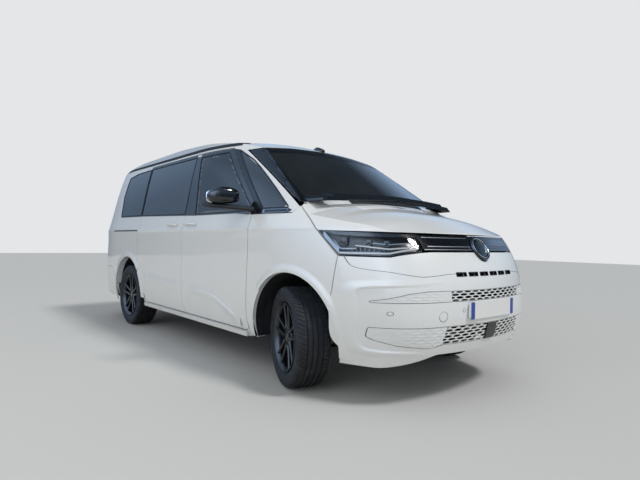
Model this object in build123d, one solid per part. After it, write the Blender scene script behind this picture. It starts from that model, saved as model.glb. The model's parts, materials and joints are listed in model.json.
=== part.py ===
"""Camper van with a pop-up roof, in millimetres: +X to the nose, +Y to its left, +Z up, origin on the ground."""
from build123d import *
import os
from math import acos, cos, hypot, radians, sin, tan

# Driving dimensions
WHEELBASE = 3124
FRONT_AXLE_X = 1611
REAR_AXLE_X = FRONT_AXLE_X - WHEELBASE
HALF_TRACK = 830
TYRE_RADIUS = 346
TYRE_WIDTH = 235
RIM_RADIUS = 234
KINGPIN_Y = 760
STEER_REST = -19
SHUT_GAP = 7
WALL = 60
SKIN = 28
GLASS = 5
PANE_LAP = 24
ARCH_RADIUS = 420
ARCH_CENTRE_Z = 375
WELL_RADIUS = 450
WELL_INNER_Y = 500
REAR_WELL_INNER_Y = 560
FLOOR_TOP = 372
FLOOR_BOTTOM = 330
SILL_BOTTOM = 272
CREASE_Z = 1095
OVERALL_HEIGHT = 2005

# Headings, in degrees, at which the arcs of a plan outline meet
NOSE_BREAK = 15
SHOULDER_BREAK = 65
QUARTER_BREAK = 6
TAIL_BREAK = 80
QUARTER_RADIUS = 4000

# Plan outlines of the body: height, half width, nose x, tail x, nose radius, shoulder radius, rear corner radius
LOWER_OUTLINES = [
    (170, 900, 2440, -2490, 1900, 2000, 150),
    (450, 957, 2572, -2584, 1900, 2000, 200),
    (800, 966, 2565, -2582, 1900, 2000, 210),
    (CREASE_Z, 970, 2402, -2556, 1900, 2000, 200),
]
UPPER_OUTLINES = [
    (CREASE_Z, 970, 2402, -2556, 1900, 2000, 200),
    (1217, 938, 2210, -2535, 1850, 2000, 190),
    (1500, 882, 1690, -2475, 1700, 2000, 175),
    (1850, 797, 1040, -2370, 1500, 2000, 165),
    (2050, 735, 650, -2300, 1400, 2000, 160),
]

# Side silhouette over bonnet, windscreen and roof: x, z, rounding radius
SILHOUETTE = [
    (2800, -150, 0),
    (2800, 880, 0),
    (2440, 1072, 300),
    (2150, 1200, 900),
    (1720, 1300, 60),
    (860, 1845, 500),
    (560, 1925, 900),
    (150, 1985, 2000),
    (-500, OVERALL_HEIGHT, 5000),
    (-1700, 1985, 4000),
    (-2330, 1890, 250),
    (-2700, 1600, 0),
    (-2700, -150, 0),
]
CROWN_AXIS_Z = -2200

SIDE_VIEW = Plane(origin=(0, 0, 0), x_dir=(1, 0, 0), z_dir=(0, -1, 0))
FRONT_VIEW = Plane(origin=(0, 0, 0), x_dir=(0, 1, 0), z_dir=(1, 0, 0))
TOP_VIEW = Plane.XY


def plan_outline(z, half_width, nose, tail, nose_radius, shoulder_radius, corner_radius, inset):
    """One level outline of the body: tangent arcs round the nose and tail, joined by straight sides."""
    a, b = radians(NOSE_BREAK), radians(SHOULDER_BREAK)
    c, d = radians(QUARTER_BREAK), radians(TAIL_BREAK)
    corner = (half_width - nose_radius * sin(a) - shoulder_radius * (1 - sin(b))) / (sin(b) - sin(a))
    tail_radius = (half_width - QUARTER_RADIUS * (1 - cos(c)) - corner_radius * (cos(c) - cos(d))) / cos(d)

    def front_run(x, y, radius, start, end):
        """End and middle of an arc that turns from heading start to heading end, measured from +Y."""
        mid = (start + end) / 2
        centre_x, centre_y = x - radius * cos(start), y - radius * sin(start)
        return [(centre_x + radius * cos(h), centre_y + radius * sin(h)) for h in (mid, end)]

    half = []
    x, y = nose - inset, 0.0
    front = [(nose_radius, 0, a), (corner, a, b), (shoulder_radius, b, radians(90))]
    points = [(x, y)]
    for radius, start, end in front:
        middle, (x, y) = front_run(x, y, radius - inset, start, end)
        half.append((points[-1], middle, (x, y)))
        points.append((x, y))
    rear = [(tail_radius, 0, radians(90) - d), (corner_radius, radians(90) - d, radians(90) - c),
            (QUARTER_RADIUS, radians(90) - c, radians(90))]
    x, y = tail + inset, 0.0
    back, points = [], [(x, y)]
    for radius, start, end in rear:
        middle, (x2, y2) = front_run(-x, y, radius - inset, start, end)
        back.append((points[-1], (-middle[0], middle[1]), (-x2, y2)))
        x, y = -x2, y2
        points.append((x, y))

    def arc(p, m, q):
        return ThreePointArc((*p, z), (*m, z), (*q, z))

    def flip(p):
        return (p[0], -p[1])

    nose_arc = arc(flip(half[0][2]), half[0][0], half[0][2])
    tail_arc = arc(back[0][2], back[0][0], flip(back[0][2]))
    left = [arc(*half[1]), arc(*half[2]), Line((*half[2][2], z), (*back[2][2], z)),
            arc(back[2][2], back[2][1], back[2][0]), arc(back[1][2], back[1][1], back[1][0])]
    right = [arc(flip(back[1][0]), flip(back[1][1]), flip(back[1][2])),
             arc(flip(back[2][0]), flip(back[2][1]), flip(back[2][2])),
             Line((*flip(back[2][2]), z), (*flip(half[2][2]), z)),
             arc(flip(half[2][2]), flip(half[2][1]), flip(half[2][0])),
             arc(flip(half[1][2]), flip(half[1][1]), flip(half[1][0]))]
    return Wire([nose_arc] + left + [tail_arc] + right)


def rounded_face(points, plane):
    """Flat face from corner points (a, b, rounding radius) in a view plane."""
    edges, ends = [], []
    count = len(points)
    for i, (px, py, radius) in enumerate(points):
        if radius <= 0:
            ends.append(((px, py), None, (px, py)))
            continue
        ax, ay = points[i - 1][0] - px, points[i - 1][1] - py
        bx, by = points[(i + 1) % count][0] - px, points[(i + 1) % count][1] - py
        la, lb = hypot(ax, ay), hypot(bx, by)
        ax, ay, bx, by = ax / la, ay / la, bx / lb, by / lb
        half_angle = acos(max(-1, min(1, ax * bx + ay * by))) / 2
        reach = radius / tan(half_angle)
        mx, my = ax + bx, ay + by
        lm = hypot(mx, my)
        out = radius / sin(half_angle) - radius
        ends.append(((px + ax * reach, py + ay * reach), (px + mx / lm * out, py + my / lm * out),
                     (px + bx * reach, py + by * reach)))
    for i, (start, middle, end) in enumerate(ends):
        if middle is not None:
            edges.append(ThreePointArc((*start, 0), (*middle, 0), (*end, 0)))
        nxt = ends[(i + 1) % count][0]
        if hypot(nxt[0] - end[0], nxt[1] - end[1]) > 0.01:
            edges.append(Line((*end, 0), (*nxt, 0)))
    return plane.location * Face(Wire(edges))


def prism(points, plane, start, end):
    """Solid cut from a view plane's outline between two distances along its normal."""
    face = rounded_face(points, plane.offset(start))
    return Solid.extrude(face, plane.z_dir * (end - start))


def grow(points, amount):
    """The same corners, moved outwards by an amount on every side. Corners run anticlockwise."""
    count = len(points)
    out = []
    for i, (px, py, radius) in enumerate(points):
        qx, qy = points[i - 1][0], points[i - 1][1]
        rx, ry = points[(i + 1) % count][0], points[(i + 1) % count][1]
        n1x, n1y = (py - qy), -(px - qx)
        n2x, n2y = (ry - py), -(rx - px)
        l1, l2 = hypot(n1x, n1y), hypot(n2x, n2y)
        n1x, n1y, n2x, n2y = n1x / l1, n1y / l1, n2x / l2, n2y / l2
        k = amount / (1 + n1x * n2x + n1y * n2y)
        out.append((px + (n1x + n2x) * k, py + (n1y + n2y) * k, max(radius + amount, 0) if radius else 0))
    return out


def block(x0, x1, y0, y1, z0, z1):
    """Box between two corners."""
    return Pos((x0 + x1) / 2, (y0 + y1) / 2, (z0 + z1) / 2) * Solid.make_box(
        abs(x1 - x0), abs(y1 - y0), abs(z1 - z0)).move(
        Location((-abs(x1 - x0) / 2, -abs(y1 - y0) / 2, -abs(z1 - z0) / 2)))


def rod(x, z, radius, y0, y1):
    """Round bar along Y."""
    return Solid.make_cylinder(radius, abs(y1 - y0), Plane(origin=(x, min(y0, y1), z), z_dir=(0, 1, 0)))


def hull(inset):
    """The whole body's outer form, brought inwards by an inset."""
    lower = Solid.make_loft([plan_outline(*row, inset) for row in LOWER_OUTLINES])
    upper = Solid.make_loft([plan_outline(*row, inset) for row in UPPER_OUTLINES])
    side = rounded_face(grow(SILHOUETTE, -inset), SIDE_VIEW)
    axis = Axis((0, 0, CROWN_AXIS_Z), (1, 0, 0))
    crown = revolve(side.rotate(axis, -20), axis, 40).solid()
    return (lower + upper) & crown


def half_space(origin, normal):
    """Large block that lies on the side of a plane that its normal points to."""
    plane = Plane(origin=origin, z_dir=normal)
    return Solid.extrude(Face.make_rect(9000, 9000, plane), plane.z_dir * 4000)


def mirrored(shape):
    """The same piece on the other side of the van."""
    return mirror(shape, Plane.XZ)


def solids_of(shape):
    """Solids of a result, largest first."""
    return sorted(shape.solids(), key=lambda s: -s.volume)


def main_solid(shape):
    """The largest solid of a result."""
    return solids_of(shape)[0]


# Corner points of the panels in the side view: x, z, rounding radius, anticlockwise
FRONT_DOOR = [(-60, 318, 0), (1097, 318, 60), (1125, 1212, 0), (1137, 1290, 40), (505, 1822, 30), (-60, 1822, 0)]
DOOR_REAR_X = -40
SLIDING_DOOR = [(-1041, 318, 20), (20, 318, 0), (20, 1822, 0), (-1200, 1822, 25), (-1200, 742, 60),
                (-1110, 625, 300), (-1043, 470, 200)]
DOOR_PANE = [(168, 1240, 15), (1080, 1240, 12), (1080, 1283, 12), (484, 1784, 15), (42, 1784, 15)]
SLIDING_PANE = [(-1188, 1270, 10), (-58, 1246, 8), (-58, 1796, 8), (-1188, 1796, 10)]
QUARTER_PANE = [(-1890, 1278, 45), (-1216, 1270, 10), (-1216, 1796, 10), (-1640, 1786, 300), (-1885, 1752, 50),
                (-1937, 1531, 300)]
QUARTERLIGHT = [(1235, 1250, 12), (1515, 1250, 20), (1000, 1587, 700), (603, 1797, 5), (585, 1789, 5)]
QUARTERLIGHT_HOLE = [(1250, 1264, 0), (1478, 1264, 0), (985, 1578, 0), (650, 1762, 0)]
WING = [(1104, 283, 0), (1700, 283, 0), (1700, 594, 0), (1969, 594, 0), (1992, 700, 0), (2012, 921, 0),
        (1838, 1080, 0), (1747, 1151, 0), (1600, 1256, 0), (1560, 1206, 0), (1132, 1206, 0)]
BUMPER = [(1960, 200, 0), (2700, 200, 0), (2700, 960, 0), (2440, 955, 0), (2320, 920, 0), (2019, 920, 0),
          (1999, 700, 0), (1976, 594, 0), (1960, 560, 0)]
HEADLAMP = [(1846, 1079, 0), (2019, 927, 0), (2318, 927, 0), (2440, 962, 0), (2700, 968, 0), (2700, 1062, 0),
            (2366, 1068, 0)]
BONNET_LOWER = [(1607, 1263, 0), (1753, 1158, 0), (1846, 1086, 0), (2366, 1075, 0), (2700, 1069, 0),
                (2700, 1700, 0), (1500, 1700, 0)]
REAR_BUMPER = [(-2700, 290, 0), (-1900, 290, 0), (-1900, 410, 0), (-2040, 600, 0), (-2100, 648, 0),
               (-2700, 648, 0)]
POP_ROOF = [(-2110, 1866, 0), (592, 1866, 0), (430, 1965, 0), (430, 2200, 0), (-2110, 2200, 0)]
BONNET_HINGE = (1608, 1263)
BONNET_TRAVEL = 50

# Corner points in the front view: y, z, rounding radius
WINDSCREEN_PANE = [(-822, 1292, 30), (-400, 1330, 600), (0, 1342, 2500), (400, 1330, 600), (822, 1292, 30),
                   (704, 1790, 40), (350, 1828, 600), (0, 1838, 2500), (-350, 1828, 600), (-704, 1790, 40)]
CENTRE_STRIP = [(-846, 1240, 0), (846, 1240, 0), (712, 1797, 0), (700, 1900, 0), (700, 2100, 0), (-700, 2100, 0),
                (-700, 1900, 0), (-712, 1797, 0)]
TAILGATE = [(-792, 655, 40), (792, 655, 40), (815, 1100, 200), (765, 1500, 400), (712, 1800, 60), (640, 2000, 0),
            (-640, 2000, 0), (-712, 1800, 60), (-765, 1500, 400), (-815, 1100, 200)]
TAILGATE_FRONT_X = -2250
TAILGATE_PANE = [(-690, 1215, 60), (690, 1215, 60), (600, 1740, 60), (-600, 1740, 60)]
BAND = [(-514, 966, 10), (514, 966, 10), (514, 1060, 10), (-514, 1060, 10)]
BADGE_Z, BADGE_RADIUS = 975, 78
UPPER_INTAKE = [(-395, 660, 12), (395, 660, 12), (395, 720, 12), (-395, 720, 12)]
LOWER_INTAKE = [(-440, 396, 14), (440, 396, 14), (420, 508, 14), (-420, 508, 14)]
CHIN = [(-1000, 242, 0), (-720, 242, 80), (-450, 330, 120), (450, 330, 120), (720, 242, 80), (1000, 242, 0),
        (1000, 1200, 0), (-1000, 1200, 0)]
SLOT_COUNT, SLOT_PITCH, SLOT_WIDTH, SLOT_Z, SLOT_HEIGHT = 6, 113, 92, 820, 26

# Corner points in the plan: x, y, rounding radius
BONNET_PLAN = [(1610, -1000, 0), (2700, -1000, 0), (2700, 1000, 0), (1610, 1000, 0), (1612, 845, 0),
               (1690, 450, 900), (1714, 0, 2500), (1690, -450, 900), (1612, -845, 0)]
ROOF_OPENING = [(-1740, -610, 60), (-300, -610, 600), (340, -520, 60), (340, 520, 60), (-300, 610, 600),
                (-1740, 610, 60)]

# Forms shared by many pieces
outer = hull(0)
behind_glass = hull(GLASS + 1)
behind_skin = hull(SKIN)
cabin_space = hull(WALL)
right_half = block(-3000, 3000, -1200, 0, 0, 2300)
wall_shell = (outer & right_half) - cabin_space
skin_shell = outer - behind_skin
skin_right = skin_shell & right_half
pane_shell = outer - behind_glass

nodes = {}


def lean_cut(offset, normal_sign):
    """Everything behind (or before) the front door's rear edge, which is cut on a slant so that the door swings out."""
    slant = radians(12)
    low = half_space((DOOR_REAR_X + offset, -965, 0), (normal_sign * cos(slant), -normal_sign * sin(slant), 0))
    top = Vector(0, 797 - 955, 700) * -1
    across = Vector(sin(slant), cos(slant), 0)
    normal = Vector(0, 158, 700).cross(across).normalized()
    if normal.X * normal_sign < 0:
        normal = normal * -1
    high = half_space((DOOR_REAR_X + offset, -955, 1150), tuple(normal))
    belt = 1150
    return (low & block(-9000, 9000, -2000, 2000, 0, belt)) + (high & block(-9000, 9000, -2000, 2000, belt, 3000))


arch_right = [rod(x, ARCH_CENTRE_Z, ARCH_RADIUS, -1200, -500) for x in (FRONT_AXLE_X, REAR_AXLE_X)]

# Side: doors, frame and glass on the right, then the same on the left
door_zone = prism(FRONT_DOOR, SIDE_VIEW, 500, 1200) & lean_cut(0, 1)
door_clear = prism(grow(FRONT_DOOR, SHUT_GAP), SIDE_VIEW, 400, 1200) & lean_cut(-SHUT_GAP, 1)
slide_zone = prism(SLIDING_DOOR, SIDE_VIEW, 500, 1200) & lean_cut(-SHUT_GAP, -1)
slide_clear = prism(grow(SLIDING_DOOR, SHUT_GAP), SIDE_VIEW, 400, 1200) & lean_cut(-SHUT_GAP + 0.01, -1)
centre_strip = prism(CENTRE_STRIP, FRONT_VIEW, -2244, 2700)
tailgate_zone = prism(TAILGATE, FRONT_VIEW, -2800, TAILGATE_FRONT_X)
tailgate_clear = prism(grow(TAILGATE, SHUT_GAP), FRONT_VIEW, -2800, TAILGATE_FRONT_X + SHUT_GAP)
rear_bumper_zone = prism(REAR_BUMPER, SIDE_VIEW, -1200, 1200)
rear_bumper_clear = prism(grow(REAR_BUMPER, 4), SIDE_VIEW, -1200, 1200)
SIDE_BAND = [(-2700, SILL_BOTTOM, 0), (1097, SILL_BOTTOM, 0), (1097, 1212, 0), (1560, 1212, 0), (1604, 1263, 0),
             (2000, 1300, 0), (2000, 1858, 0), (-2700, 1858, 0)]


def window(points, hole_points=None):
    """Glass pane flush in a wall, with the seat that it lies in and the hole behind it."""
    pane = pane_shell & prism(points, SIDE_VIEW, 500, 1200)
    seat = pane_shell & prism(grow(points, 2), SIDE_VIEW, 500, 1200)
    hole = prism(hole_points or grow(points, -PANE_LAP), SIDE_VIEW, 400, 1200)
    return main_solid(pane), seat, hole


door_pane, door_seat, door_hole = window(DOOR_PANE)
slide_pane, slide_seat, slide_hole = window(SLIDING_PANE)
quarter_pane, quarter_seat, quarter_hole = window(QUARTER_PANE)
light_pane, light_seat, light_hole = window(QUARTERLIGHT, QUARTERLIGHT_HOLE)

front_door = main_solid((wall_shell & door_zone) - door_seat - door_hole)
sliding_door = main_solid((wall_shell & slide_zone) - slide_seat - slide_hole)

frame = wall_shell & prism(SIDE_BAND, SIDE_VIEW, 400, 1200)
frame = frame - door_clear - slide_clear - centre_strip - tailgate_clear - rear_bumper_clear
frame = frame - arch_right[0] - arch_right[1] - quarter_seat - quarter_hole - light_seat - light_hole
frame = main_solid(frame)

deck = (cabin_space & block(-2244, 700, -900, 900, 1832, 1860)) - prism(ROOF_OPENING, TOP_VIEW, 1700, 2000)
SILL_BOX_Y = (796, 868)
sill_box = block(-1045, 1145, -SILL_BOX_Y[1], -SILL_BOX_Y[0], SILL_BOTTOM, FLOOR_TOP)
sill_flange = block(-1045, 1097, -900, -SILL_BOX_Y[1], SILL_BOTTOM, 311)
hinge_pillar = block(1141, 1192, -890, -820, 570, 1245) + block(1112, 1150, -870, -820, SILL_BOTTOM, 640)
B_PILLAR = [(-874, 300, 0), (-840, 300, 0), (-855, 1095, 0), (-822, 1217, 0), (-690, 1790, 0), (-690, 1857, 0),
            (-765, 1857, 0), (-765, 1832, 0), (-736, 1827, 0), (-766, 1700, 0), (-810, 1500, 0), (-866, 1217, 0),
            (-893, 1095, 0), (-891, 640, 0)]
b_pillar = prism(B_PILLAR, FRONT_VIEW, -110, 25)
frame = frame + sill_box + sill_flange + hinge_pillar + (b_pillar - deck)
print("frame", len(frame.solids()), [round(s.volume / 1e6, 2) for s in solids_of(frame)])
nodes["side_frame_right"] = main_solid(frame)
nodes["side_frame_left"] = mirrored(nodes["side_frame_right"])
nodes["sliding_doors"] = Compound([sliding_door, mirrored(sliding_door)])
nodes["side_glass"] = Compound([p for q in (slide_pane, quarter_pane, light_pane) for p in (q, mirrored(q))])
nodes["front_door_right"] = front_door
nodes["front_door_left"] = mirrored(front_door)
nodes["door_glass_right"] = door_pane
nodes["door_glass_left"] = mirrored(door_pane)

# Front end
wing = main_solid((skin_right & prism(WING, SIDE_VIEW, 400, 1200)) - arch_right[0])
nodes["wings"] = Compound([wing, mirrored(wing)])

bonnet_zone = prism(BONNET_LOWER, SIDE_VIEW, -1200, 1200) & prism(BONNET_PLAN, TOP_VIEW, 900, 1700)
nodes["bonnet"] = main_solid(skin_shell & bonnet_zone)

lamp_zone = prism(HEADLAMP, SIDE_VIEW, 520, 1200)
lamp_right = main_solid(wall_shell & lamp_zone)
nodes["head_lamps"] = Compound([lamp_right, mirrored(lamp_right)])

badge_disc = Solid.make_cylinder(BADGE_RADIUS, 300, Plane(origin=(2350, 0, BADGE_Z), z_dir=(1, 0, 0)))
badge_hole = Solid.make_cylinder(BADGE_RADIUS + 3, 400, Plane(origin=(2300, 0, BADGE_Z), z_dir=(1, 0, 0)))
bumper_zone = prism(BUMPER, SIDE_VIEW, -1200, 1200) & prism(CHIN, FRONT_VIEW, 1500, 2800)
bumper = (skin_shell & bumper_zone) - badge_hole - arch_right[0] - mirrored(arch_right[0])
intakes = [prism(points, FRONT_VIEW, 2300, 2700) for points in (UPPER_INTAKE, LOWER_INTAKE)]
slots = []
for i in range(SLOT_COUNT):
    y = (i - (SLOT_COUNT - 1) / 2) * SLOT_PITCH
    slots.append(block(2300, 2700, y - SLOT_WIDTH / 2, y + SLOT_WIDTH / 2,
                       SLOT_Z - SLOT_HEIGHT / 2, SLOT_Z + SLOT_HEIGHT / 2))
for cutter in intakes + slots:
    bumper = bumper - cutter
TOW_EYE = (2425, -458, 569)
TOW_COVER_RADIUS = 31
tow_axis = Plane(origin=(2430, TOW_EYE[1], TOW_EYE[2]), z_dir=(1, 0, 0))
bumper = bumper - Solid.make_cylinder(TOW_COVER_RADIUS, 300, tow_axis)
nodes["front_bumper"] = main_solid(bumper)

band = skin_shell & prism(BAND, FRONT_VIEW, 2000, 2700)
band = (band - badge_hole) + (skin_shell & badge_disc)
grille_parts = solids_of(band)
GRILLE_BACK = [(2440, 390, 0), (2452, 390, 0), (2452, 850, 0), (2440, 850, 0)]
grille_back = prism(GRILLE_BACK, SIDE_VIEW, -425, 425)


def honeycomb(intake, rows, closed_half):
    """Lattice that fills one intake: rows of stretched hexagons, staggered, left out over a closed middle."""
    cells = []
    for row, z in enumerate(rows):
        for column in range(-7, 8):
            y = (column + 0.5 * (row % 2)) * CELL_PITCH
            if closed_half < abs(y) < CELL_FIELD:
                a, b, c = CELL_WIDTH / 2, CELL_WIDTH * 0.27, CELL_HEIGHT / 2
                points = [(y - a, z, 0), (y - b, z + c, 0), (y + b, z + c, 0),
                          (y + a, z, 0), (y + b, z - c, 0), (y - b, z - c, 0)]
                cells.append(prism(points, FRONT_VIEW, 2300, 2700))
    return (skin_shell & prism(intake, FRONT_VIEW, 2300, 2700)).cut(*cells)


# Stretched cells in staggered rows, and the plain square over the distance sensor in the lower intake
CELL_WIDTH, CELL_HEIGHT, CELL_PITCH, CELL_FIELD = 60, 15, 66, 365
UPPER_ROWS = [671, 690, 709]
LOWER_ROWS = [411, 431.5, 452, 472.5, 493]
lattices = solids_of(honeycomb(UPPER_INTAKE, UPPER_ROWS, -1)) + solids_of(honeycomb(LOWER_INTAKE, LOWER_ROWS, 110))
print("lattices", [round(s.volume / 1e3) for s in lattices])
nodes["front_grille"] = Compound(grille_parts + lattices + solids_of(grille_back & behind_skin))

# Rear end
nodes["rear_bumper"] = main_solid((skin_shell & rear_bumper_zone) - arch_right[1] - mirrored(arch_right[1]))
rear_pane = main_solid(pane_shell & prism(TAILGATE_PANE, FRONT_VIEW, -2800, -2300))
rear_seat = pane_shell & prism(grow(TAILGATE_PANE, 2), FRONT_VIEW, -2800, -2300)
rear_hole = prism(grow(TAILGATE_PANE, -28), FRONT_VIEW, -2800, -2200)
whole_shell = outer - cabin_space
nodes["tailgate"] = main_solid((whole_shell & tailgate_zone) - rear_seat - rear_hole)
nodes["tailgate_glass"] = rear_pane

# Roof: fixed frame with the opening, rising roof and canvas
pop_zone = prism(POP_ROOF, SIDE_VIEW, -1200, 1200)
pop_clear = prism(grow(POP_ROOF, 6), SIDE_VIEW, -1200, 1200)
cap = whole_shell & prism([(380, 1790, 0), (1000, 1790, 0), (1000, 2000, 0), (380, 2000, 0)], SIDE_VIEW, -1200, 1200)
rear_strip = outer & (block(-2244, -2117, -705, 705, 1832, 1870) + block(-2244, -2117, -900, 900, 1858, 2100))
cap = (cap & centre_strip) + rear_strip
windscreen_zone = prism(WINDSCREEN_PANE, FRONT_VIEW, 500, 1900)
windscreen_seat = pane_shell & prism(grow(WINDSCREEN_PANE, 2), FRONT_VIEW, 500, 1900)
windscreen_hole = prism(grow(WINDSCREEN_PANE, -26), FRONT_VIEW, 400, 1900)
roof_frame = (cap + deck) - pop_clear - windscreen_seat - windscreen_hole - door_clear - mirrored(door_clear)
roof_frame = roof_frame - nodes["side_frame_right"] - nodes["side_frame_left"]
print("roof frame", [round(s.volume / 1e6, 2) for s in solids_of(roof_frame)])
nodes["roof_frame"] = main_solid(roof_frame)
nodes["pop_roof"] = main_solid(skin_shell & pop_zone)
nodes["windscreen"] = main_solid(pane_shell & windscreen_zone)


# Underbody: floor with its wheel wells and bulkhead, chassis legs and front beam
def well(axle_x, inner_y):
    """Sheet housing over a right wheel, closed towards the middle of the van and open below and outwards."""
    outside = rod(axle_x, ARCH_CENTRE_Z, WELL_RADIUS + 10, -885, -inner_y + 12)
    inside = rod(axle_x, ARCH_CENTRE_Z, WELL_RADIUS, -1000, -inner_y)
    below = block(axle_x - 600, axle_x + 600, -1000, 0, -200, FLOOR_BOTTOM)
    return (outside - below) - inside


FLOOR_HALF = 795
floor = block(-2420, 1500, -FLOOR_HALF, FLOOR_HALF, FLOOR_BOTTOM, FLOOR_TOP) & cabin_space
bulkhead = block(1488, 1512, -FLOOR_HALF, FLOOR_HALF, FLOOR_BOTTOM, 1170) & behind_skin
legs = block(1480, 2400, -488, -430, 430, 560)
underbody = floor + bulkhead
for axle_x, inner_y in ((FRONT_AXLE_X, WELL_INNER_Y), (REAR_AXLE_X, REAR_WELL_INNER_Y)):
    space = rod(axle_x, ARCH_CENTRE_Z, WELL_RADIUS, -1000, -inner_y)
    underbody = underbody - space - mirrored(space)
    housing = well(axle_x, inner_y) & behind_skin
    if axle_x == FRONT_AXLE_X:
        housing = housing - block(axle_x - 50, axle_x + 700, -1000, 0, -200, 430)
    housing = housing - block(REAR_AXLE_X + 435, REAR_AXLE_X + 475, -900, -877, 300, FLOOR_TOP)
    underbody = underbody + housing + mirrored(housing)
beam = block(2385, 2425, -520, 520, 470, 600)
tow_socket = Solid.make_cylinder(12, 60, Plane(origin=(2380, TOW_EYE[1], TOW_EYE[2]), z_dir=(1, 0, 0)))
underbody = underbody + legs + mirrored(legs) + beam - tow_socket
print("underbody", [round(s.volume / 1e6, 2) for s in solids_of(underbody)])
nodes["floor_pan"] = main_solid(underbody)

# Inside
DASH = [(1486, 700, 0), (1486, 1175, 0), (1330, 1190, 60), (1190, 1120, 60), (1160, 980, 40), (1240, 760, 60)]
dash_wells = rod(FRONT_AXLE_X, ARCH_CENTRE_Z, WELL_RADIUS + 12, -1000, 1000)
nodes["dashboard"] = main_solid((prism(DASH, SIDE_VIEW, -790, 790) & cabin_space) - dash_wells)
WHEEL_CENTRE, WHEEL_TILT = (1085, 400, 1010), 28
wheel_plane = Plane(origin=WHEEL_CENTRE, z_dir=(-cos(radians(WHEEL_TILT)), 0, sin(radians(WHEEL_TILT))))
steering = Solid.make_torus(180, 15, wheel_plane)
steering = steering + Solid.make_cylinder(52, 45, wheel_plane.offset(-45))
for angle in (0, 90, 180, 270):
    spoke = Rot(0, 0, angle) * block(30, 175, -17, 17, -10, 4)
    steering = steering + wheel_plane.location * spoke
steering = steering + Solid.make_cylinder(38, 105, wheel_plane.offset(-145))
nodes["steering_wheel"] = main_solid(steering - nodes["dashboard"])

SEAT_BASE = [(-230, 0, 0), (230, 0, 0), (200, 240, 0), (-200, 240, 0)]
SEAT_CUSHION = [(-270, 205, 40), (290, 225, 50), (300, 340, 50), (-270, 320, 30)]
SEAT_BACK = [(-190, 270, 30), (-310, 800, 300), (-370, 1000, 45), (-470, 985, 45), (-450, 800, 200), (-330, 280, 30)]
HEADREST = [(-375, 1035, 30), (-395, 1200, 38), (-480, 1190, 38), (-460, 1030, 30)]


def seat(x, y, width):
    """One seat: base, cushion, back and headrest on its posts."""
    shape = prism(SEAT_BASE, SIDE_VIEW, -width / 2 + 60, width / 2 - 60)
    shape = shape + prism(SEAT_CUSHION, SIDE_VIEW, -width / 2, width / 2)
    shape = shape + prism(SEAT_BACK, SIDE_VIEW, -width / 2 + 15, width / 2 - 15)
    shape = shape + prism(HEADREST, SIDE_VIEW, -130, 130)
    for post_y in (-70, 70):
        shape = shape + Solid.make_cylinder(7, 130, Plane(origin=(-422, post_y, 950), z_dir=(-0.05, 0, 1)))
    return Pos(x, y, FLOOR_TOP) * main_solid(shape)


nodes["front_seats"] = Compound([seat(560, y, 520) for y in (-400, 400)])
nodes["rear_seats"] = Compound([seat(-620, y, 480) for y in (-420, 90)])
nodes["kitchen_unit"] = block(-1950, -940, 470, 546, FLOOR_TOP, 1180) + block(-1040, -940, 470, 790, FLOOR_TOP, 1180)

# Below: engine, subframe, rear suspension, tank and exhaust
nodes["engine_block"] = block(1640, 2180, -410, 410, 330, 930)
subframe = block(1540, 1700, -420, 420, 240, 300)
arm = prism([(1560, -400, 0), (1590, -690, 20), (1632, -690, 20), (1680, -400, 0)], TOP_VIEW, 215, 245)
strut = Solid.make_cylinder(28, 330, Plane(origin=(1611, -625, 400), z_dir=(0, 0.1, 0.995)))
top_mount = Solid.make_cylinder(60, 30, Plane(origin=(1611, -592, 728), z_dir=(0, 0.1, 0.995)))
arm_pin = Solid.make_cylinder(18, 190, Plane(origin=(1611, -625, 225), z_dir=(0, 0, 1)))
subframe = subframe + arm + mirrored(arm)
for part in (strut, top_mount, arm_pin):
    subframe = subframe + part + mirrored(part)
subframe = subframe + block(1590, 1632, -500, -400, 240, 300) + block(1590, 1632, 400, 500, 240, 300)
print("subframe", [round(s.volume / 1e6, 2) for s in solids_of(subframe)])
nodes["front_subframe"] = main_solid(subframe)
axle = block(REAR_AXLE_X - 45, REAR_AXLE_X + 45, -640, 640, 205, 245)
for sign in (-1, 1):
    axle = axle + block(REAR_AXLE_X - 55, REAR_AXLE_X + 420, sign * 600, sign * 550, 215, 270)
    axle = axle + block(REAR_AXLE_X - 55, REAR_AXLE_X + 55, sign * 630, sign * 690, 215, 430)
    axle = axle + rod(REAR_AXLE_X, TYRE_RADIUS, 40, sign * 690, sign * 706)
nodes["rear_suspension"] = main_solid(axle)
nodes["fuel_tank"] = block(-560, 300, 80, 560, 205, 326)
pipe = [(1500, -150, 285), (1300, -150, 275), (950, -300, 285), (-900, -300, 285), (-1300, -330, 296), (-1750, -330, 275),
        (-2380, -420, 290)]
path = FilletPolyline(*pipe, radius=90)
tube = sweep(Plane(origin=path @ 0, z_dir=path % 0).location * Circle(28), path=path)
muffler = Pos(-1980, -360, 262) * (Rot(0, 90, 0) * Solid.make_cylinder(62, 380).move(Location((0, 0, -190))))
nodes["exhaust"] = main_solid(tube + muffler)

# Wheels and knuckles
TYRE_SECTION = [(238, -92, 0), (250, -104, 8), (300, -117, 60), (335, -108, 25), (TYRE_RADIUS, -88, 14),
                (TYRE_RADIUS, 88, 14), (335, 108, 25), (300, 117, 60), (250, 104, 8), (238, 92, 0)]
SPOKE_PAIRS = 5
HUB_BOLTS, HUB_BOLT_RADIUS = 5, 56
OUT_OFFSET = 78


def about_axle(section):
    """Ring turned about the wheel's axle (Y) from corner points (radius, y, rounding radius)."""
    face = rounded_face(section, Plane(origin=(0, 0, 0), x_dir=(1, 0, 0), z_dir=(0, 0, 1)))
    return revolve(face, Axis((0, 0, 0), (0, 1, 0)), 360).solid()


def tyre():
    """Tyre about the origin, axle along Y."""
    return about_axle(TYRE_SECTION)


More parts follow.
